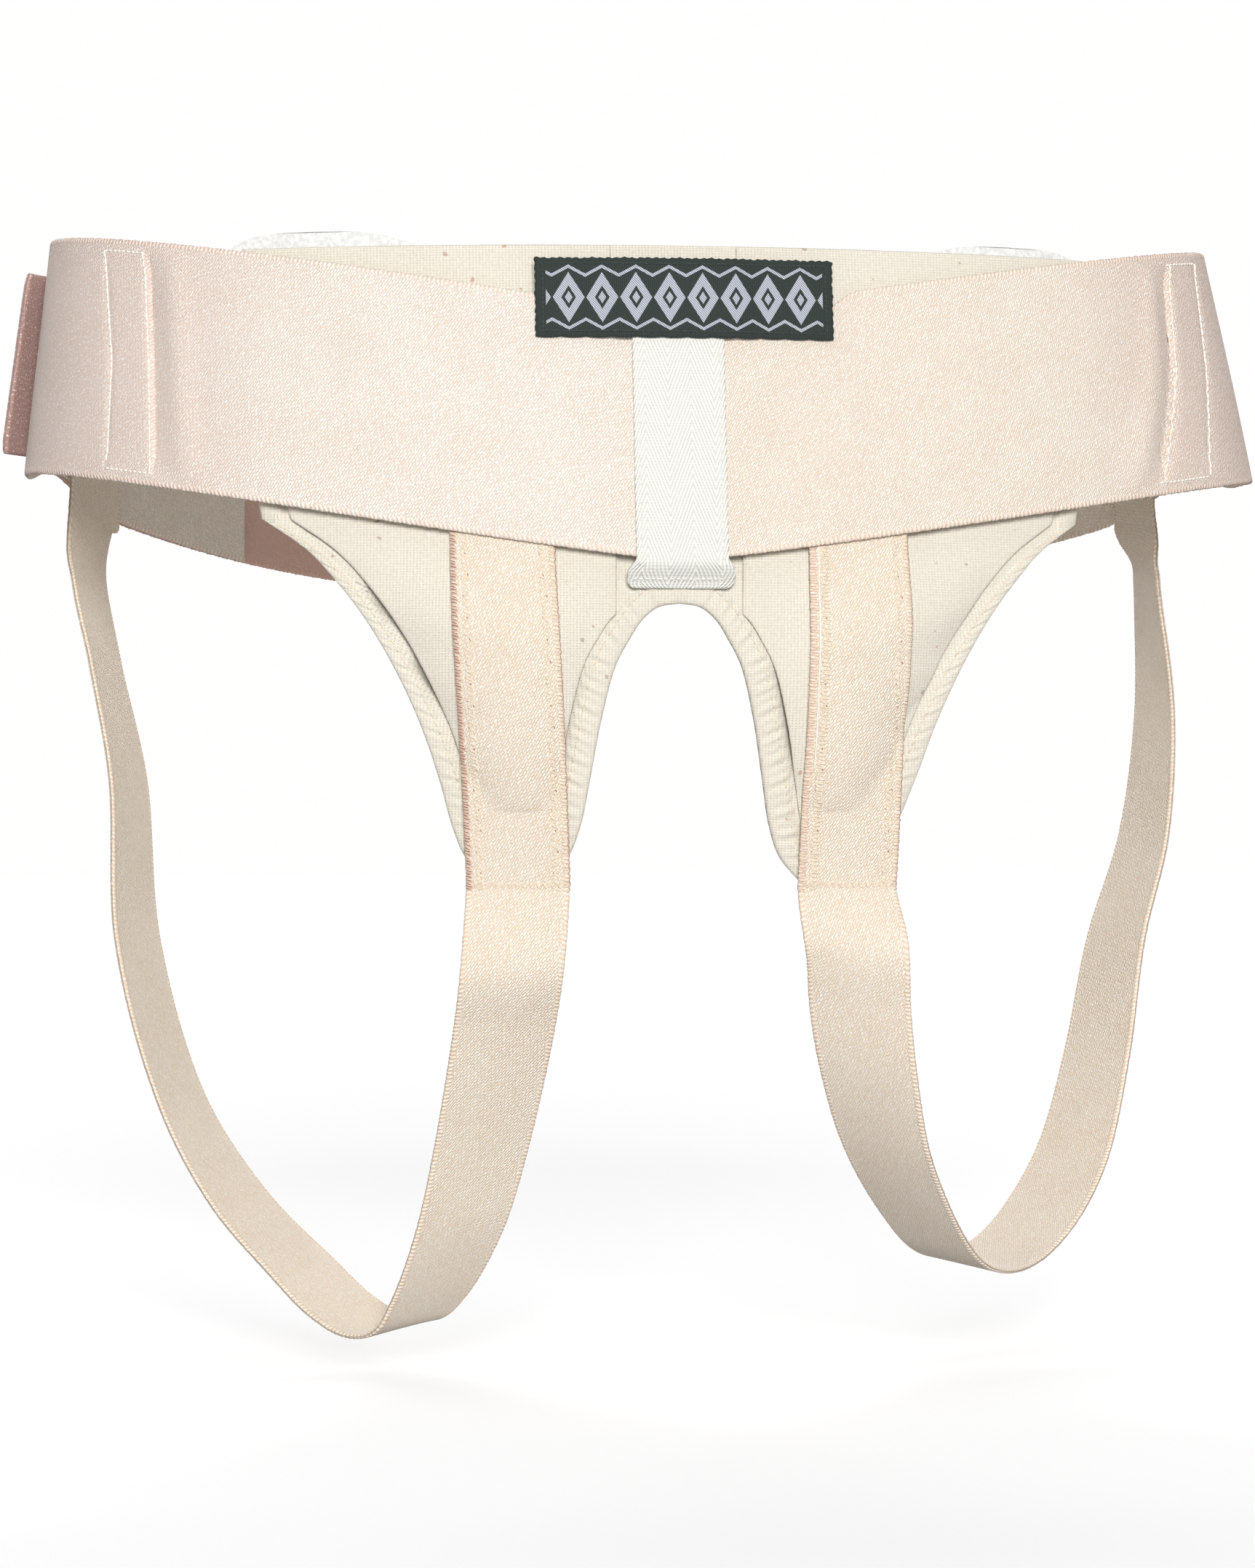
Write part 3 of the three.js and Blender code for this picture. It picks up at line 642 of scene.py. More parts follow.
BAND_CLOTH = elastic("band_weave", BAND_HEIGHT, tone(255, 252, 244), tone(240, 222, 205), side_shade_span=(245, 185))
LINED_BAND = elastic(
    "lined_band_weave", BAND_HEIGHT, tone(255, 250, 238), tone(240, 219, 199),
    side_shade_span=(125, 190), lining=(LAP_LENGTH, tone(224, 172, 160)),
)
STRAP_CLOTH = elastic("strap_weave", STRAP_WIDTH, tone(255, 248, 233), tone(240, 219, 194), 32)
KNIT_CLOTH = knit("knit_cotton", tone(238, 232, 219), tone(217, 210, 194))
TAPE_CLOTH = herringbone("herringbone_tape")
LABEL_CLOTH = woven_label("label_weave")
HOOK_CLOTH = hook_fabric("hook_fabric")
PAD_COVER = foam_cover("pad_cover")
WHITE_THREAD = plain_thread("white_thread", tone(228, 224, 212), tone(255, 253, 246))
CREAM_THREAD = plain_thread("cream_thread", tone(222, 204, 180), tone(250, 238, 218))
RED_THREAD = plain_thread("red_thread", tone(146, 98, 84), tone(206, 164, 144))
PINK_THREAD = plain_thread("pink_thread", tone(216, 182, 164), tone(244, 222, 204))
DARK_THREAD = plain_thread("label_thread", tone(22, 29, 27), tone(70, 82, 77))


# The waist band's two lengths

def even_angles(start, end):
    fine = np.linspace(start, end, 4000)
    run = lengths(loop_point(fine, (lower_edge(fine) + upper_edge(fine)) / 2, 0))
    places = np.linspace(0, run[-1], round(run[-1] / CLOTH_COLUMN) + 1)
    return np.interp(places, run, fine), places


# The two lines of each stay, the inner one first: angles at the band's top, middle and bottom
STAY_LINES = {
    -1: ((-57.6, -55.3, -53.4), (-65.7, -62.2, -61.2)),
    1: ((61, 58, 51.7), (70.4, 67, 61.4)),
}
STAY_LIP = 0.011  # how far beside its valley the inner line of stitches lies, as an angle
VALLEY_DEEP, VALLEY_WIDE, VALLEY_STEEP = 2.2, 4.5, 0.9
SWELL_HIGH, SWELL_OFF, SWELL_WIDE = 1.3, 13, 6


def stay_angle(line, share):
    """Where a stay's stitch line is at a share of the band's height from its top, as an angle."""
    top, middle, low = line
    return np.radians(np.interp(share, [0.06, 0.5, 0.94], [top, middle, low]))


def stay_relief(angle, share, side):
    """The band is flat between a stay's two lines of stitches, dips at both and swells beside them."""
    first, second = (np.abs(stay_angle(line, share)) for line in STAY_LINES[side])
    scale = LOOP_WIDTH / 2.4
    inside = (np.abs(angle) - first) * scale
    width = (second - first) * scale
    ends = smooth(share, 0.02, 0.14) * (1 - smooth(share, 0.86, 0.98))
    reach = np.where(inside < 0, VALLEY_WIDE, VALLEY_STEEP)
    dip = -VALLEY_DEEP * np.exp(-np.abs(inside) / reach) - 0.7 * np.exp(-(((inside - width) / 1.4) ** 2))
    swell = SWELL_HIGH * np.exp(-(((inside + SWELL_OFF) / SWELL_WIDE) ** 2))
    return (dip + swell) * ends


def band(name, ends, out_at, drop_at, side, seed, material):
    angles, places = even_angles(*ends)
    across = graded(BAND_HEIGHT, [*SELVEDGE_STEPS[:-1], 4.2], 5.2)
    share = (across / BAND_HEIGHT)[:, None]
    top, low = upper_edge(angles) - drop_at(angles), lower_edge(angles)
    near_top = 1 - smooth(across, 0, SELVEDGE)[:, None]
    near_low = 1 - smooth(BAND_HEIGHT - across, 0, SELVEDGE)[:, None]
    z = mix(top, low, share) + near_top * wobble(places, 1.5, 0.22, seed)
    z = z - near_low * wobble(places + 0.4, 1.5, 0.22, seed + 1)
    ripple = 0.16 * np.sin(places / 23 + 3 * share + seed) + 0.1 * np.sin(places / 9.7 - 5 * share)
    on_side = smooth(side * angles, 0.6, 0.8) * (1 - smooth(side * angles, 1.45, 1.6))
    out = out_at(angles) + ripple + stay_relief(angles, share, side) * on_side
    half = BAND_FACE * edge_profile(to_edge(across, BAND_HEIGHT)[:, None], 1.1) + 0 * z
    cloth = Cloth(name, loop_point(angles, z, out), pair(places, across[:, None]), half, -half, material)
    cloth.angles, cloth.across = angles, across
    return cloth


def outer_out(angle):
    lap_start = 2 * math.pi - INNER_END
    return LAP_OUT * smooth(angle, lap_start - LAP_EASE, lap_start - LAP_EASE / 5)


def outer_drop(angle):
    x = np.sin(angle) * LOOP_WIDTH / 2
    beside = LABEL_WIDTH / 2
    return np.where(np.cos(angle) < 0, 0, CORNER_DROP * (1 - smooth(x, beside, beside * 1.3)))


def no_change(angle):
    return 0 * angle


band_left = band("band_left_cloth", (-INNER_END, -FRONT_GAP), no_change, no_change, -1, 0.7, BAND_CLOTH)
band_right = band("band_right_cloth", (FRONT_GAP, OUTER_END), outer_out, outer_drop, 1, 2.1, LINED_BAND)


def stay_stitches(cloth, side):
    """A line of stitches down each side of a stay and a short one across its top and bottom."""
    paths, lines = [], STAY_LINES[side]

    def place(share, angle):
        return index_of(share * BAND_HEIGHT, cloth.across), index_of(angle, cloth.angles)

    down = np.linspace(0.05, 0.95, 80)
    for line, beside in zip(lines, (STAY_LIP, 0)):
        angle = stay_angle(line, down) + math.copysign(beside, line[0])
        paths += stitch_paths(cloth, *place(down, angle), 2.4, 0.25, 1.02)
    for share in down[[0, -1]]:
        start, end = sorted(float(stay_angle(line, share)) for line in lines)
        paths += stitch_paths(cloth, *place(share, np.linspace(start, end, 20)), 1.9, 0.02, 0.7)
    return paths


band_left_thread = tubes("band_left_stitches", stay_stitches(band_left, -1), STAY_THREAD, WHITE_THREAD)
band_right_thread = tubes("band_right_stitches", stay_stitches(band_right, 1), STAY_THREAD, WHITE_THREAD)


# The hook tab on the outer length's end

def hook_tab():
    root = OUTER_END - TAB_OVERLAP / (LOOP_WIDTH / 3)
    middle = (upper_edge(OUTER_END) + lower_edge(OUTER_END)) / 2 - TAB_DROP
    reach = TAB_OVERLAP + TAB_REACH
    run = graded(reach, TAB_STEPS, 0.7)
    down = graded(TAB_HEIGHT, TAB_STEPS, 0.7)[:, None]
    out = LAP_OUT + BAND_FACE + SEAM_GAP + TAB_THICK / 2
    past = np.maximum(run - TAB_OVERLAP, 0)
    corner = np.maximum(0, TAB_CORNER - to_edge(down, TAB_HEIGHT)) / TAB_CORNER
    past = past * (1 - corner**2 * 0.06) - TAB_CUT * (1 - down / TAB_HEIGHT) * past / TAB_REACH
    z = middle + TAB_HEIGHT / 2 - down + 0 * run
    on_band = loop_point(mix(root, OUTER_END, np.minimum(run, TAB_OVERLAP) / TAB_OVERLAP), z, out)
    onward = unit(loop_point(OUTER_END, z, out) - loop_point(OUTER_END - math.radians(1), z, out))
    edge = np.minimum(to_edge(run, reach), to_edge(down, TAB_HEIGHT))
    fuzz = 0.12 * np.sin(run * 3.1) * np.sin(down * 2.7)
    half = TAB_THICK / 2 * edge_profile(edge, 1.2)
    grid = on_band + onward * past[..., None]
    cloth = Cloth("hook_tab_cloth", grid, pair(run, down), half + fuzz, -half, HOOK_CLOTH)
    paths = []
    rows, columns = cloth.face.shape[:2]
    for inset in (2.6, TAB_OVERLAP - 1.5, reach - 2.2):
        paths += stitch_paths(cloth, np.linspace(3, rows - 4, 50), index_of(inset, run), 1.9)
    for row in (4.5, rows - 5.5):
        paths += stitch_paths(cloth, row, np.linspace(3, columns - 4, 50), 1.9)
    return cloth, tubes("hook_tab_stitches", paths, TAB_THREAD, CREAM_THREAD)


tab, tab_thread = hook_tab()


# The knit panel, its pockets and pads

TOP_STEPS, SIDE_STEPS, LOBE_STEPS, INNER_COLUMNS = 66, 14, 180, 34
HEM_PLACES = np.array([0, 0.4, 1, 2, 3.4, 4.8, 6, 6.9, *(HEM_WIDTH + np.array([0, 0.6, 1.4, 3]))])
PUCKERS = ((0.16, 3.1), (0.16, 5.3))  # the hem's waves: height and length


def panel():
    tip_places = np.append(np.linspace(0, HEM_WIDTH + TIP_ROUND, 12), HEM_WIDTH + TIP_ROUND + HEM_STEP)

    def lines_on(curve, count):
        length = lengths(curve)[-1]
        free = np.linspace(0, length - tip_places[-1], count - len(tip_places) + 2)[:-1]
        return along(curve, np.concatenate([free, length - tip_places[::-1]]))

    # Lines across the cloth from the arch to the outer edge, one after another from the top's middle
    arch = lines_on(ARCH_CURVE, TOP_STEPS + SIDE_STEPS + LOBE_STEPS)
    corner = np.array([PANEL_WIDTH / 2 + PANEL_FLARE, PANEL_TOP])
    top_line = np.linspace([0, PANEL_TOP], corner, TOP_STEPS, endpoint=False)
    side_line = np.linspace(corner, LOBE_CURVE[0], SIDE_STEPS, endpoint=False)
    outer = np.vstack([top_line, side_line, lines_on(LOBE_CURVE, LOBE_STEPS)])
    span = np.linalg.norm(outer - arch, axis=1)[:, None]
    near = HEM_PLACES * np.minimum(1, span / (2.5 * HEM_PLACES[-1]))
    inner = mix(near[:, -1:], span - near[:, -1:], np.linspace(0, 1, INNER_COLUMNS)[None, 1:-1])
    distance = np.hstack([near, inner, span - near[:, ::-1]])
    share = distance / span
    flat = mix(arch[:, None], outer[:, None], share[..., None])
    below_top = np.arange(len(arch))[:, None] > TOP_STEPS
    from_tip = (lengths(ARCH_CURVE)[-1] - lengths(arch))[:, None]
    halves = []
    for side in (-1, 1):
        z = flat[..., 1]
        x = (flat[..., 0] + spread(side, z, share)) * side
        outer_hem = np.where(below_top, span - distance, 99)
        edge = np.minimum(np.minimum(distance, outer_hem), from_tip * 0.75)
        fill = pad_fill(side, x, z, PAD_REACH)
        back = (1 - forward_share(x, z)) * fill + FOLD_GAP * np.minimum(2, fill)
        length = np.where(distance < span / 2, lengths(arch)[:, None], lengths(outer)[:, None])
        part = (front_point(x, z, PANEL_FACE - PANEL_THICK - back), edge, x, length)
        halves.append([a[::-1] if side < 0 else a[1:] for a in part])
    grid, edge, x, length = (np.concatenate(both, axis=0) for both in zip(*halves))
    hem = 1 - smooth(edge, HEM_WIDTH, HEM_WIDTH + 1)
    roll = np.sin(np.clip(edge / HEM_WIDTH, 0, 1) * math.pi) ** 0.5
    pucker = sum(high * np.sin(length * 2 * math.pi / pitch) for high, pitch in PUCKERS)
    rise = (HEM_THICK - PANEL_THICK) * (0.45 + 0.55 * roll) + pucker * smooth(edge, 0.5, 3)
    front = PANEL_THICK + hem * rise
    seam = 0.35 * np.exp(-(((edge - HEM_SEAM) / 0.5) ** 2))
    front = np.maximum(front - seam, 0.5) * mix(0.55, 1, edge_profile(edge, 1.0))

    # The lines become columns, as Cloth has them
    def turned(field):
        return field.swapaxes(0, 1)[::-1]

    uv = turned(pair(x, grid[..., 2]))
    cloth = Cloth("panel_cloth", turned(grid), uv, turned(front), turned(0 * front), KNIT_CLOTH)
    return cloth, turned(edge)


panel_cloth, panel_edge = panel()


def panel_stitches():
    """A stitch line just inside the hem's inner edge, all the way round the arch and the lobes."""
    paths = []
    rows, columns = panel_edge.shape
    middle = rows // 2
    for outer in (False, True):
        picked = []
        for column in range(0, columns, 2):
            part = panel_edge[:middle, column][::-1] if outer else panel_edge[middle:, column]
            if part[-1] <= 0.5:
                step = index_of(-HEM_SEAM, -part)
                picked.append((middle - 1 - step if outer else middle + step, column))
        picked = np.array(picked, float)
        gaps = np.nonzero(np.diff(picked[:, 1]) > 3)[0]
        for run in np.split(picked, gaps + 1):
            if len(run) > 8:
                paths += stitch_paths(panel_cloth, run[:, 0], run[:, 1], 2.6, 0.1, 0.75)
    return paths


panel_thread = tubes("panel_stitches", panel_stitches(), FINE_THREAD, CREAM_THREAD)


def pocket(side, name):
    inset = HEM_WIDTH + POCKET_INSET
    down = graded(PANEL_TOP - LOBE_TIP - inset, [0, 0.4, 1, 2], 1.6)
    across = np.concatenate([[0, 0.006, 0.016, 0.03], np.linspace(0.045, 0.955, 54), [0.97, 0.984, 0.994, 1]])
    z = (PANEL_TOP - down)[:, None]
    outer = lobe_out(z) + spread(side, z, 1) - inset
    arch = out_at_height(ARCH_CURVE, np.minimum(z, ARCH_CURVE[0, 1]))
    inner = np.maximum(POCKET_SPREAD / 2, arch + inset + HEM_STEP)
    x = side * mix(inner, outer, 1 - across if side < 0 else across)
    z = z + 0 * x
    edge = np.minimum(to_edge(across, 1) * np.abs(outer - inner), to_edge(down, down[-1])[:, None])
    soft = 0.14 * np.sin(x / 7 + z / 15) * np.sin(z / 11 - x / 19) * smooth(edge, 0, 6)
    grid = front_point(x, z, POCKET_FACE - POCKET_THICK / 2 + pocket_out(side, x, z) + soft)
    half = POCKET_THICK / 2 * edge_profile(edge, 1.2)
    return Cloth(name, grid, pair(x, z), half, -half, KNIT_CLOTH)


pocket_left = pocket(-1, "pocket_left_cloth")
pocket_right = pocket(1, "pocket_right_cloth")


def pad(side, name):
    """A lens of foam in a white cover, with a seam ridge round its edge."""
    tall, around_count = 56, 72
    top = PANEL_TOP + PAD_RISE[side]
    lengthwise = -np.cos(np.linspace(0, math.pi, tall + 1))[1:-1, None]
    turn = np.linspace(0, 2 * math.pi, around_count, endpoint=False)[None]
    middle, half, thick = pad_at(lengthwise)
    x = side * middle + half * np.cos(turn)
    z = mix(-PAD_DROP, top, (lengthwise + 1) / 2) + 0 * x
    facing = np.sin(turn)
    forward = forward_share(x, z)
    bulge = thick * facing**2 * np.where(facing > 0, forward, forward - 1)
    ridge = 0.35 * np.exp(-((facing / 0.12) ** 2)) * np.sign(facing) * (thick / PAD_THICK)
    points = front_point(x, z, PAD_PLANE + bulge + ridge).reshape(-1, 3)
    count = len(points)
    ids = np.arange(count).reshape(tall - 1, around_count)
    around = np.hstack([ids, ids[:, :1]])
    faces = grid_faces(around)[:, ::-1].tolist()
    for end, z_end, row, flip in ((-1.0, -PAD_DROP, around[0], 1), (1.0, top, around[-1], -1)):
        point = front_point(side * pad_at(np.array(end))[0], z_end, PAD_PLANE)
        points = np.vstack([points, point.reshape(1, 3)])
        faces += [[a, b, len(points) - 1][::flip] for a, b in zip(row[:-1].tolist(), row[1:].tolist())]
    return new_object(name, points, faces, PAD_COVER)


pad_left = pad(-1, "pad_left_foam")
pad_right = pad(1, "pad_right_foam")


# The leg straps

FRONT_ROWS, REAR_ROWS, SPAN_STEPS = 240, 50, 30
TURN_BLUR = np.hanning(25)[1:-1] / np.hanning(25)[1:-1].sum()


def strap(side, name):
    across = graded(STRAP_WIDTH, SELVEDGE_STEPS, 2.0)
    off = across - STRAP_WIDTH / 2
    centre = len(off) // 2

    def middle_at(z):
        return side * mix(STRAP_TOP[side], STRAP_FOOT[side], np.clip((LOW_FRONT - z) / LOBE_DROP, 0, 1))

    def on_pocket(z):
        z = np.atleast_1d(z)[:, None]
        x = middle_at(z) + off
        z = z + 0 * x
        return front_point(x, z, STRAP_FACE - STRAP_THICK / 2 + pocket_out(side, x, z))

    rear = STRAP_REAR[side]
    near_rear = loop_point(rear + 0.01, lower_edge(rear), 0) - loop_point(rear - 0.01, lower_edge(rear), 0)
    gather = GATHER[side]
    angles = rear - off * gather * 0.02 / np.linalg.norm(near_rear)

    def on_band(climb):
        climb = np.atleast_1d(climb)[:, None]
        return loop_point(angles, lower_edge(angles) + climb, -BAND_FACE - FOLD_GAP - STRAP_THICK / 2)

    def centre_of(row):
        return along(row, STRAP_WIDTH / 2, across)

    # The loop's middle line, with its turn about the upright and its roll at each point
    start = float(lower_edge(front_angle(middle_at(LOW_FRONT), LOW_FRONT))) + STRAP_TUCK
    foot = LOBE_TIP - STRAP_THICK
    foot_row = on_pocket(foot)[0]
    foot_run = foot_row[-1] - foot_row[0]
    foot_turn = math.atan2(-side * foot_run[1], foot_run[0])
    rear_turn = math.atan2(abs(near_rear[1]), abs(near_rear[0]))
    stops = [(centre_of(row), foot_turn, 0) for row in (on_pocket(foot + STRAP_WIDTH / 3)[0], foot_row)]
    for out, back, down, turn in LEG_ROUTE[side]:
        point = (side * out * LOOP_WIDTH / 2, back * LOOP_DEPTH / 2, LOBE_TIP - down * LEG_DROP[side])
        stops.append((point, math.radians(turn), -side * LEG_ROLL * float(smooth(down, 0.5, 1))))
    for climb in (-STRAP_ENTRY, STRAP_SEWN):
        stops.append((centre_of(on_band(climb)[0]), rear_turn, 0))
    middles, turns, rolls = zip(*stops)
    path = spline(middles, SPAN_STEPS)
    place = np.arange(len(path)) / SPAN_STEPS

    def blurred(values):
        even = np.interp(place, np.arange(len(values)), values)
        return np.convolve(np.pad(even, len(TURN_BLUR) // 2, mode="edge"), TURN_BLUR, "valid")

    turn, roll = blurred(turns), blurred(rolls)
    down = unit(np.gradient(path, axis=0))
    wide = np.stack([np.cos(turn), -side * np.sin(turn), roll], axis=-1)
    wide = unit(wide - (wide * down).sum(axis=1, keepdims=True) * down)
    spans = len(middles) - 1
    gathered = mix(1, gather, smooth(place, spans - 2.5, spans - 1))[:, None, None]
    free = (path[:, None] + wide[:, None] * off[:, None] * gathered)[SPAN_STEPS:-SPAN_STEPS]
    run = lengths(free[:, centre])
    at_front = (1 - smooth(run, 0, 26))[:, None, None]
    at_rear = (1 - smooth(run[-1] - run, 0, 12))[:, None, None]
    free = free + (foot_row - free[0]) * at_front + (on_band(-STRAP_ENTRY)[0] - free[-1]) * at_rear
    sewn_front = on_pocket(np.linspace(start, foot, FRONT_ROWS))[:-1]
    sewn_rear = on_band(np.linspace(-STRAP_ENTRY, STRAP_SEWN, REAR_ROWS))[1:]
    rows = np.concatenate([sewn_front, free, sewn_rear])

    # Rows at even distances along the whole strap, with uneven selvedges
    run = lengths(rows[:, centre])
    places = np.linspace(0, run[-1], round(run[-1] / CLOTH_COLUMN) + 1)
    grid = np.stack([along(rows[:, j], places, run) for j in range(len(off))], axis=1)
    near = 1 - smooth(to_edge(across, STRAP_WIDTH), 0, SELVEDGE)
    push = np.sign(off) * near * wobble(places, 1.35, 0.2, side)[:, None]
    grid = grid + unit(np.gradient(grid, axis=1)) * push[..., None]
    half = STRAP_THICK / 2 * edge_profile(to_edge(across, STRAP_WIDTH)[None], 1.1)
    half = half * edge_profile(to_edge(places, places[-1])[:, None], 0.8)
    cloth = Cloth(name, grid, pair(places[:, None], across), half, -half, STRAP_CLOTH)
    cloth.places, cloth.across = places, across
    cloth.on_lobe = run[FRONT_ROWS - 1]
    return cloth


strap_left = strap(-1, "strap_left_cloth")
strap_right = strap(1, "strap_right_cloth")


def on_strap(cloth, places, insets, lift):
    """Points on a strap at distances from its front end and from its left edge."""
    rows, columns = index_of(places, cloth.places), index_of(insets, cloth.across)
    return cloth.at(rows, columns + 0 * rows, lift + 0 * rows)


def zigzag(cloth, start, end, inset, swing, pitch, lift=0.1):
    places = np.arange(start, end, pitch / 8)
    return on_strap(cloth, places, inset + swing * np.sin(2 * math.pi * places / pitch), lift)


def hatch(cloth, start, end, inset, wide, pitch, slant, lift=0.1):
    """Short threads laid side by side across an edge, as overlocking leaves them."""
    paths = []
    for k, place in enumerate(np.arange(start, end, pitch)):
        reach = wide * (1 + 0.14 * math.sin(k * 2.4))
        places = place + slant * HATCH_PLACES + 0.12 * math.sin(k * 1.7)
        height = lift * np.array([-0.6, 1, 1.6, 1, -0.6])
        paths.append(on_strap(cloth, places, inset + reach * HATCH_PLACES, height))
    return paths


def strap_threads(cloth, side, name):
    """Overlocked edges, columns of zigzag and a cross seam at the lobe's tip."""
    start, end = 9.0, cloth.on_lobe + 1
    right = STRAP_WIDTH
    columns = (4.3, right - 4.2)
    cream = [zigzag(cloth, start, end, inset, 0.85, 2.2) for inset in columns]
    # Right edge: a scalloped dark line with cream loops inside it
    red = [zigzag(cloth, start, end, right - 0.1, 0.3, 2.2, -0.1)]
    cream += hatch(cloth, start, end, right - 2.2, 2.0, 1.1, 0.35)
    if side < 0:
        # Left edge: dense reddish overlocking
        red += hatch(cloth, start, end, 0.05, 1.7, 1.0, 0.5)
        pink = hatch(cloth, start + 0.5, end, 0.05, 2.1, 1.0, 0.4)
    else:
        # Left edge: a pinkish strip, a white cord line and wide loops beside it
        pink = hatch(cloth, start, end, 0.05, 2.2, 0.85, 0.2)
        cream += hatch(cloth, start, end, 3.4, 2.6, 1.25, 0.5, 0.14)
    short = np.linspace(0, 1, 4)
    for inset in columns:
        for k, place in enumerate(np.arange(start + 3, end, 6.6)):
            drift = 0.9 * math.sin(k * 2.1 + inset)
            red.append(on_strap(cloth, place + 0.7 * short, inset + drift + 0.3 * short, 0.14))
    seam = np.linspace(1.5, right - 1.5, 150)
    cream.append(on_strap(cloth, end - 2 + 0.8 * np.sin(seam * 2.9), seam, 0.14))
    pink += [on_strap(cloth, end - 2.5 + short, x + 0.3 * short, 0.16) for x in seam[5::11]]
    made = [
        tubes(name + "_seam_cream", cream, STRAP_THREAD, CREAM_THREAD),
        tubes(name + "_seam_red", red, RED_LINE, RED_THREAD),
        tubes(name + "_seam_pink", pink, PINK_LINE, PINK_THREAD),
    ]
    if side > 0:
        cord = on_strap(cloth, np.linspace(start, start + 76, 140), 2.75, 0.22)
        made.append(tubes(name + "_cord_line", [cord], CORD_THREAD, WHITE_THREAD))
    return made


strap_left_threads = strap_threads(strap_left, -1, "strap_left")
strap_right_threads = strap_threads(strap_right, 1, "strap_right")


# The tape and the label

def tape():
    on_band = BAND_FACE + SEAM_GAP
    on_hem = PANEL_FACE - PANEL_THICK + HEM_THICK + SEAM_GAP
    top = LOW_FRONT + BAND_RISE + TAPE_TOP
    bottom = LOW_FRONT - TAPE_FOOT
    hangs = LOW_FRONT - SEAM_GAP
    down = graded(top - bottom, PATCH_STEPS, 0.8)
    z = (top - down)[:, None]
    below = (hangs - z) / (hangs - bottom)
    left = 1 - np.clip((z - bottom) / 2.8, 0, 1)
    rounding = 2.4 * (1 - np.sqrt(np.clip(1 - left**2, 0, 1)))
    share = graded(1, [0, 0.01, 0.03], 0.03)
    x = (share * 2 - 1) * (TAPE_WIDTH / 2 + FOOT_FLARE * smooth(below, -0.2, 0.4) - rounding)
    out = mix(on_band, on_hem, smooth(below, -0.1, 1)) + TAPE_THICK / 2
    edge = np.minimum(to_edge(share, 1) * TAPE_WIDTH, to_edge(down, down[-1])[:, None])
    half = TAPE_THICK / 2 * edge_profile(edge, 0.8)
    uv = pair(down[:, None], share * TAPE_WIDTH)
    cloth = Cloth("tape_cloth", front_point(x, z, out), uv, half, -half, TAPE_CLOTH)
    rows, columns = cloth.face.shape[:2]
    paths = []
    for inset in (1.7, TAPE_WIDTH - 1.7):
        column = index_of(inset / TAPE_WIDTH, share)
        paths += stitch_paths(cloth, np.linspace(4, rows - 10, 80), column, 1.9, 0.08, 0.7)
    seam = index_of(down[-1] - 3.2, down)
    paths += stitch_paths(cloth, seam, np.linspace(2.5, columns - 3.5, 60), 1.9, 0.1, 0.7)
    return cloth, tubes("tape_stitches", paths, FINE_THREAD, WHITE_THREAD)


tape_cloth, tape_thread = tape()


def label():
    top = LOW_FRONT + BAND_RISE + LABEL_RISE
    over_band = BAND_FACE + SEAM_GAP
    over_tape = over_band + TAPE_THICK + SEAM_GAP
    down = graded(LABEL_HEIGHT, PATCH_STEPS, 0.9)[:, None]
    run = graded(LABEL_WIDTH, PATCH_STEPS, 0.75)
    near_end = 1 - smooth(to_edge(run, LABEL_WIDTH), 0, 2)
    near_low = smooth(down, LABEL_HEIGHT - 2, LABEL_HEIGHT)
    near_top = 1 - smooth(down, 0, 2)
    scallop = 0.35 * np.abs(np.sin(math.pi * run / 7.6)) ** 0.6
    bumps = np.sign(run - LABEL_WIDTH / 2) * near_end * wobble(down, 2.6, 0.3, 1.2)
    x = LABEL_SHIFT - LABEL_WIDTH / 2 + run + bumps
    z = top - down + near_low * (0.35 - scallop) + near_top * wobble(run, 2.4, 0.36, 0.4)
    beside = smooth(np.abs(x), TAPE_WIDTH / 2, TAPE_WIDTH)
    grid = front_point(x, z, mix(over_tape, over_band, beside) + LABEL_THICK / 2)
    edge = np.minimum(to_edge(run, LABEL_WIDTH), to_edge(down, LABEL_HEIGHT))
    rib = 0.16 * np.sin(2 * math.pi * (run + down) / 2.4) * np.exp(-((edge - 1.6) ** 2))
    half = LABEL_THICK / 2 * edge_profile(edge, 0.8)
    front = half + np.maximum(rib, -0.05)
    cloth = Cloth("label_cloth", grid, pair(run, down), front, -half, LABEL_CLOTH)
    rows, columns = cloth.face.shape[:2]
    paths = []
    for row in (3.2, rows - 4.2):
        paths += stitch_paths(cloth, row, np.linspace(3, columns - 4, 90), 1.5, 0.1, 0.8)
    for column in (4, columns - 5):
        paths += stitch_paths(cloth, np.linspace(3, rows - 4, 40), column, 1.5, 0.1, 0.8)
    return cloth, tubes("label_stitches", paths, FINE_THREAD, DARK_THREAD)


label_cloth, label_thread = label()


# The imported parts that these cloths stand in for are hidden

def declare(node):
    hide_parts(node)


for cloth, node, length, thread in (
    (band_left, "waist_band_left", 0.36, band_left_thread),
    (band_right, "waist_band_right", 0.7, band_right_thread),
):
    declare(node)
declare("hook_tab")
declare("front_panel")
for cloth, node, area in (
    (pocket_left, "pad_pocket_left", 0.0142),
    (pocket_right, "pad_pocket_right", 0.0147),
):
    declare(node)
declare("leg_strap_left")
declare("leg_strap_right")
declare("centre_tape")
declare("label_patch")
for foam, node in ((pad_left, "pad_left"), (pad_right, "pad_right")):
    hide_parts(node)


# Floor, light and surroundings

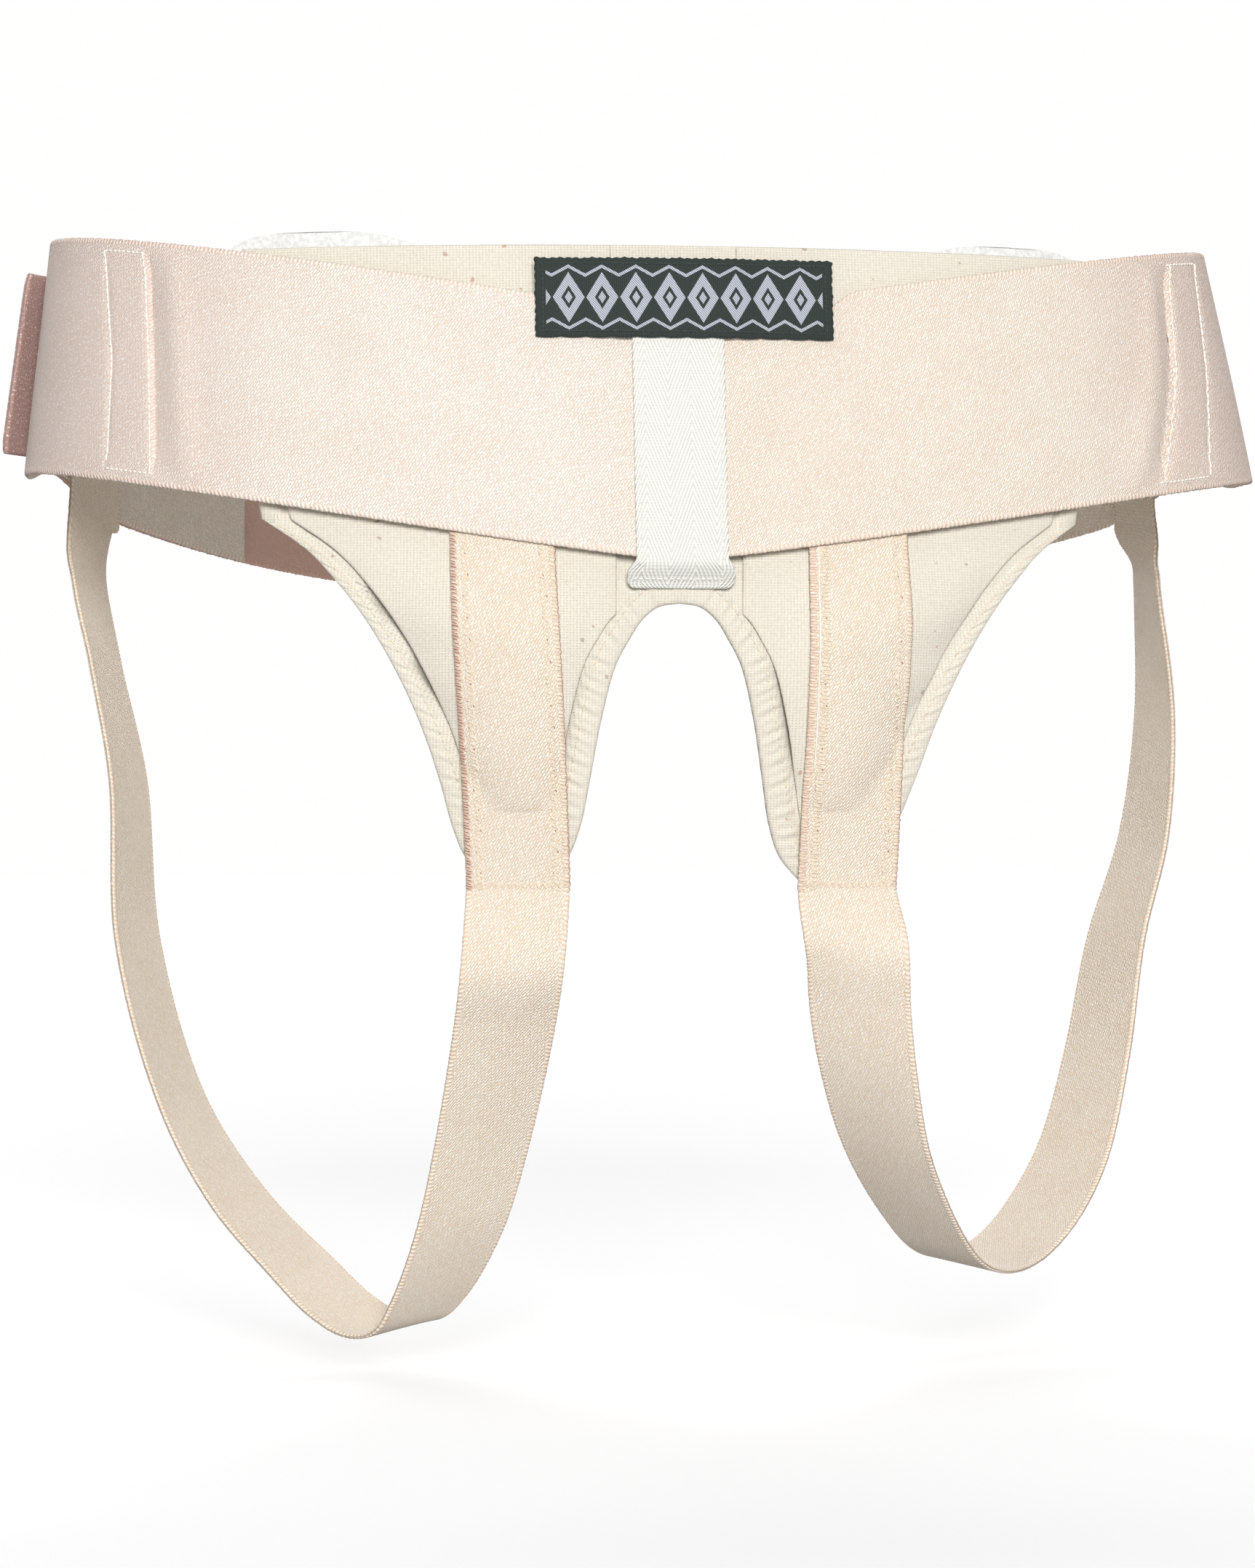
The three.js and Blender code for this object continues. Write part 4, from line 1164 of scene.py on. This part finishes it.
FLOOR_Z, FLOOR_REACH, FLOOR_SEEN = -0.312, 9, 0.6
WORLD_LIGHT, WORLD_SEEN = 0.1, 1.0
floor_mesh = bpy.data.meshes.new("floor")
floor_corners = [(x * FLOOR_REACH, y * FLOOR_REACH, FLOOR_Z) for x, y in ((-1, -1), (1, -1), (1, 1), (-1, 1))]
floor_mesh.from_pydata(floor_corners, [], [(0, 1, 2, 3)])
floor = bpy.data.objects.new("floor", floor_mesh)
scene.collection.objects.link(floor)
pale = bpy.data.materials.new("pale_floor")
pale.use_nodes = True
pale_shader = pale.node_tree.nodes["Principled BSDF"]
pale_shader.inputs["Base Color"].default_value = (0.5, 0.5, 0.5, 1)
pale_shader.inputs["Emission Color"].default_value = (1, 1, 1, 1)
pale_shader.inputs["Roughness"].default_value = 1
pale_shader.inputs["Specular IOR Level"].default_value = 0
floor_mesh.materials.append(pale)


def soft_light(name, towards, spread_degrees, strength):
    """A far, wide lamp, which lights the object and all of the floor evenly."""
    light = bpy.data.lights.new(name, "SUN")
    light.angle = math.radians(spread_degrees)
    light.energy = strength
    made = bpy.data.objects.new(name, light)
    scene.collection.objects.link(made)
    made.rotation_euler = Vector(towards).to_track_quat("-Z", "Y").to_euler()


for name, towards, spread_degrees, strength in (
    ("key", (0.06, 1, -0.26), 20, 3.05),
    ("low", (0.3, 1, 0.3), 35, 1.05),
    ("top", (0, 0.25, -1), 60, 0.5),
    ("rear", (0, -1, -0.4), 50, 2.8),
):
    soft_light(name, towards, spread_degrees, strength)


def pale_to_camera(tree, socket, low, high):
    """A strength that is low as light on the object and high where the camera sees it as background."""
    seen = tree.nodes.new("ShaderNodeLightPath")
    level = tree.nodes.new("ShaderNodeMapRange")
    level.inputs["To Min"].default_value = low
    level.inputs["To Max"].default_value = high
    tree.links.new(seen.outputs["Is Camera Ray"], level.inputs["Value"])
    tree.links.new(level.outputs[0], socket)


world = bpy.data.worlds.new("studio")
scene.world = world
world.use_nodes = True
surround = world.node_tree.nodes["Background"]
surround.inputs["Color"].default_value = (1, 0.995, 0.99, 1)
pale_to_camera(world.node_tree, surround.inputs["Strength"], WORLD_LIGHT, WORLD_SEEN)
pale_to_camera(pale.node_tree, pale_shader.inputs["Emission Strength"], 0.0, FLOOR_SEEN)
scene.view_settings.view_transform = "Standard"
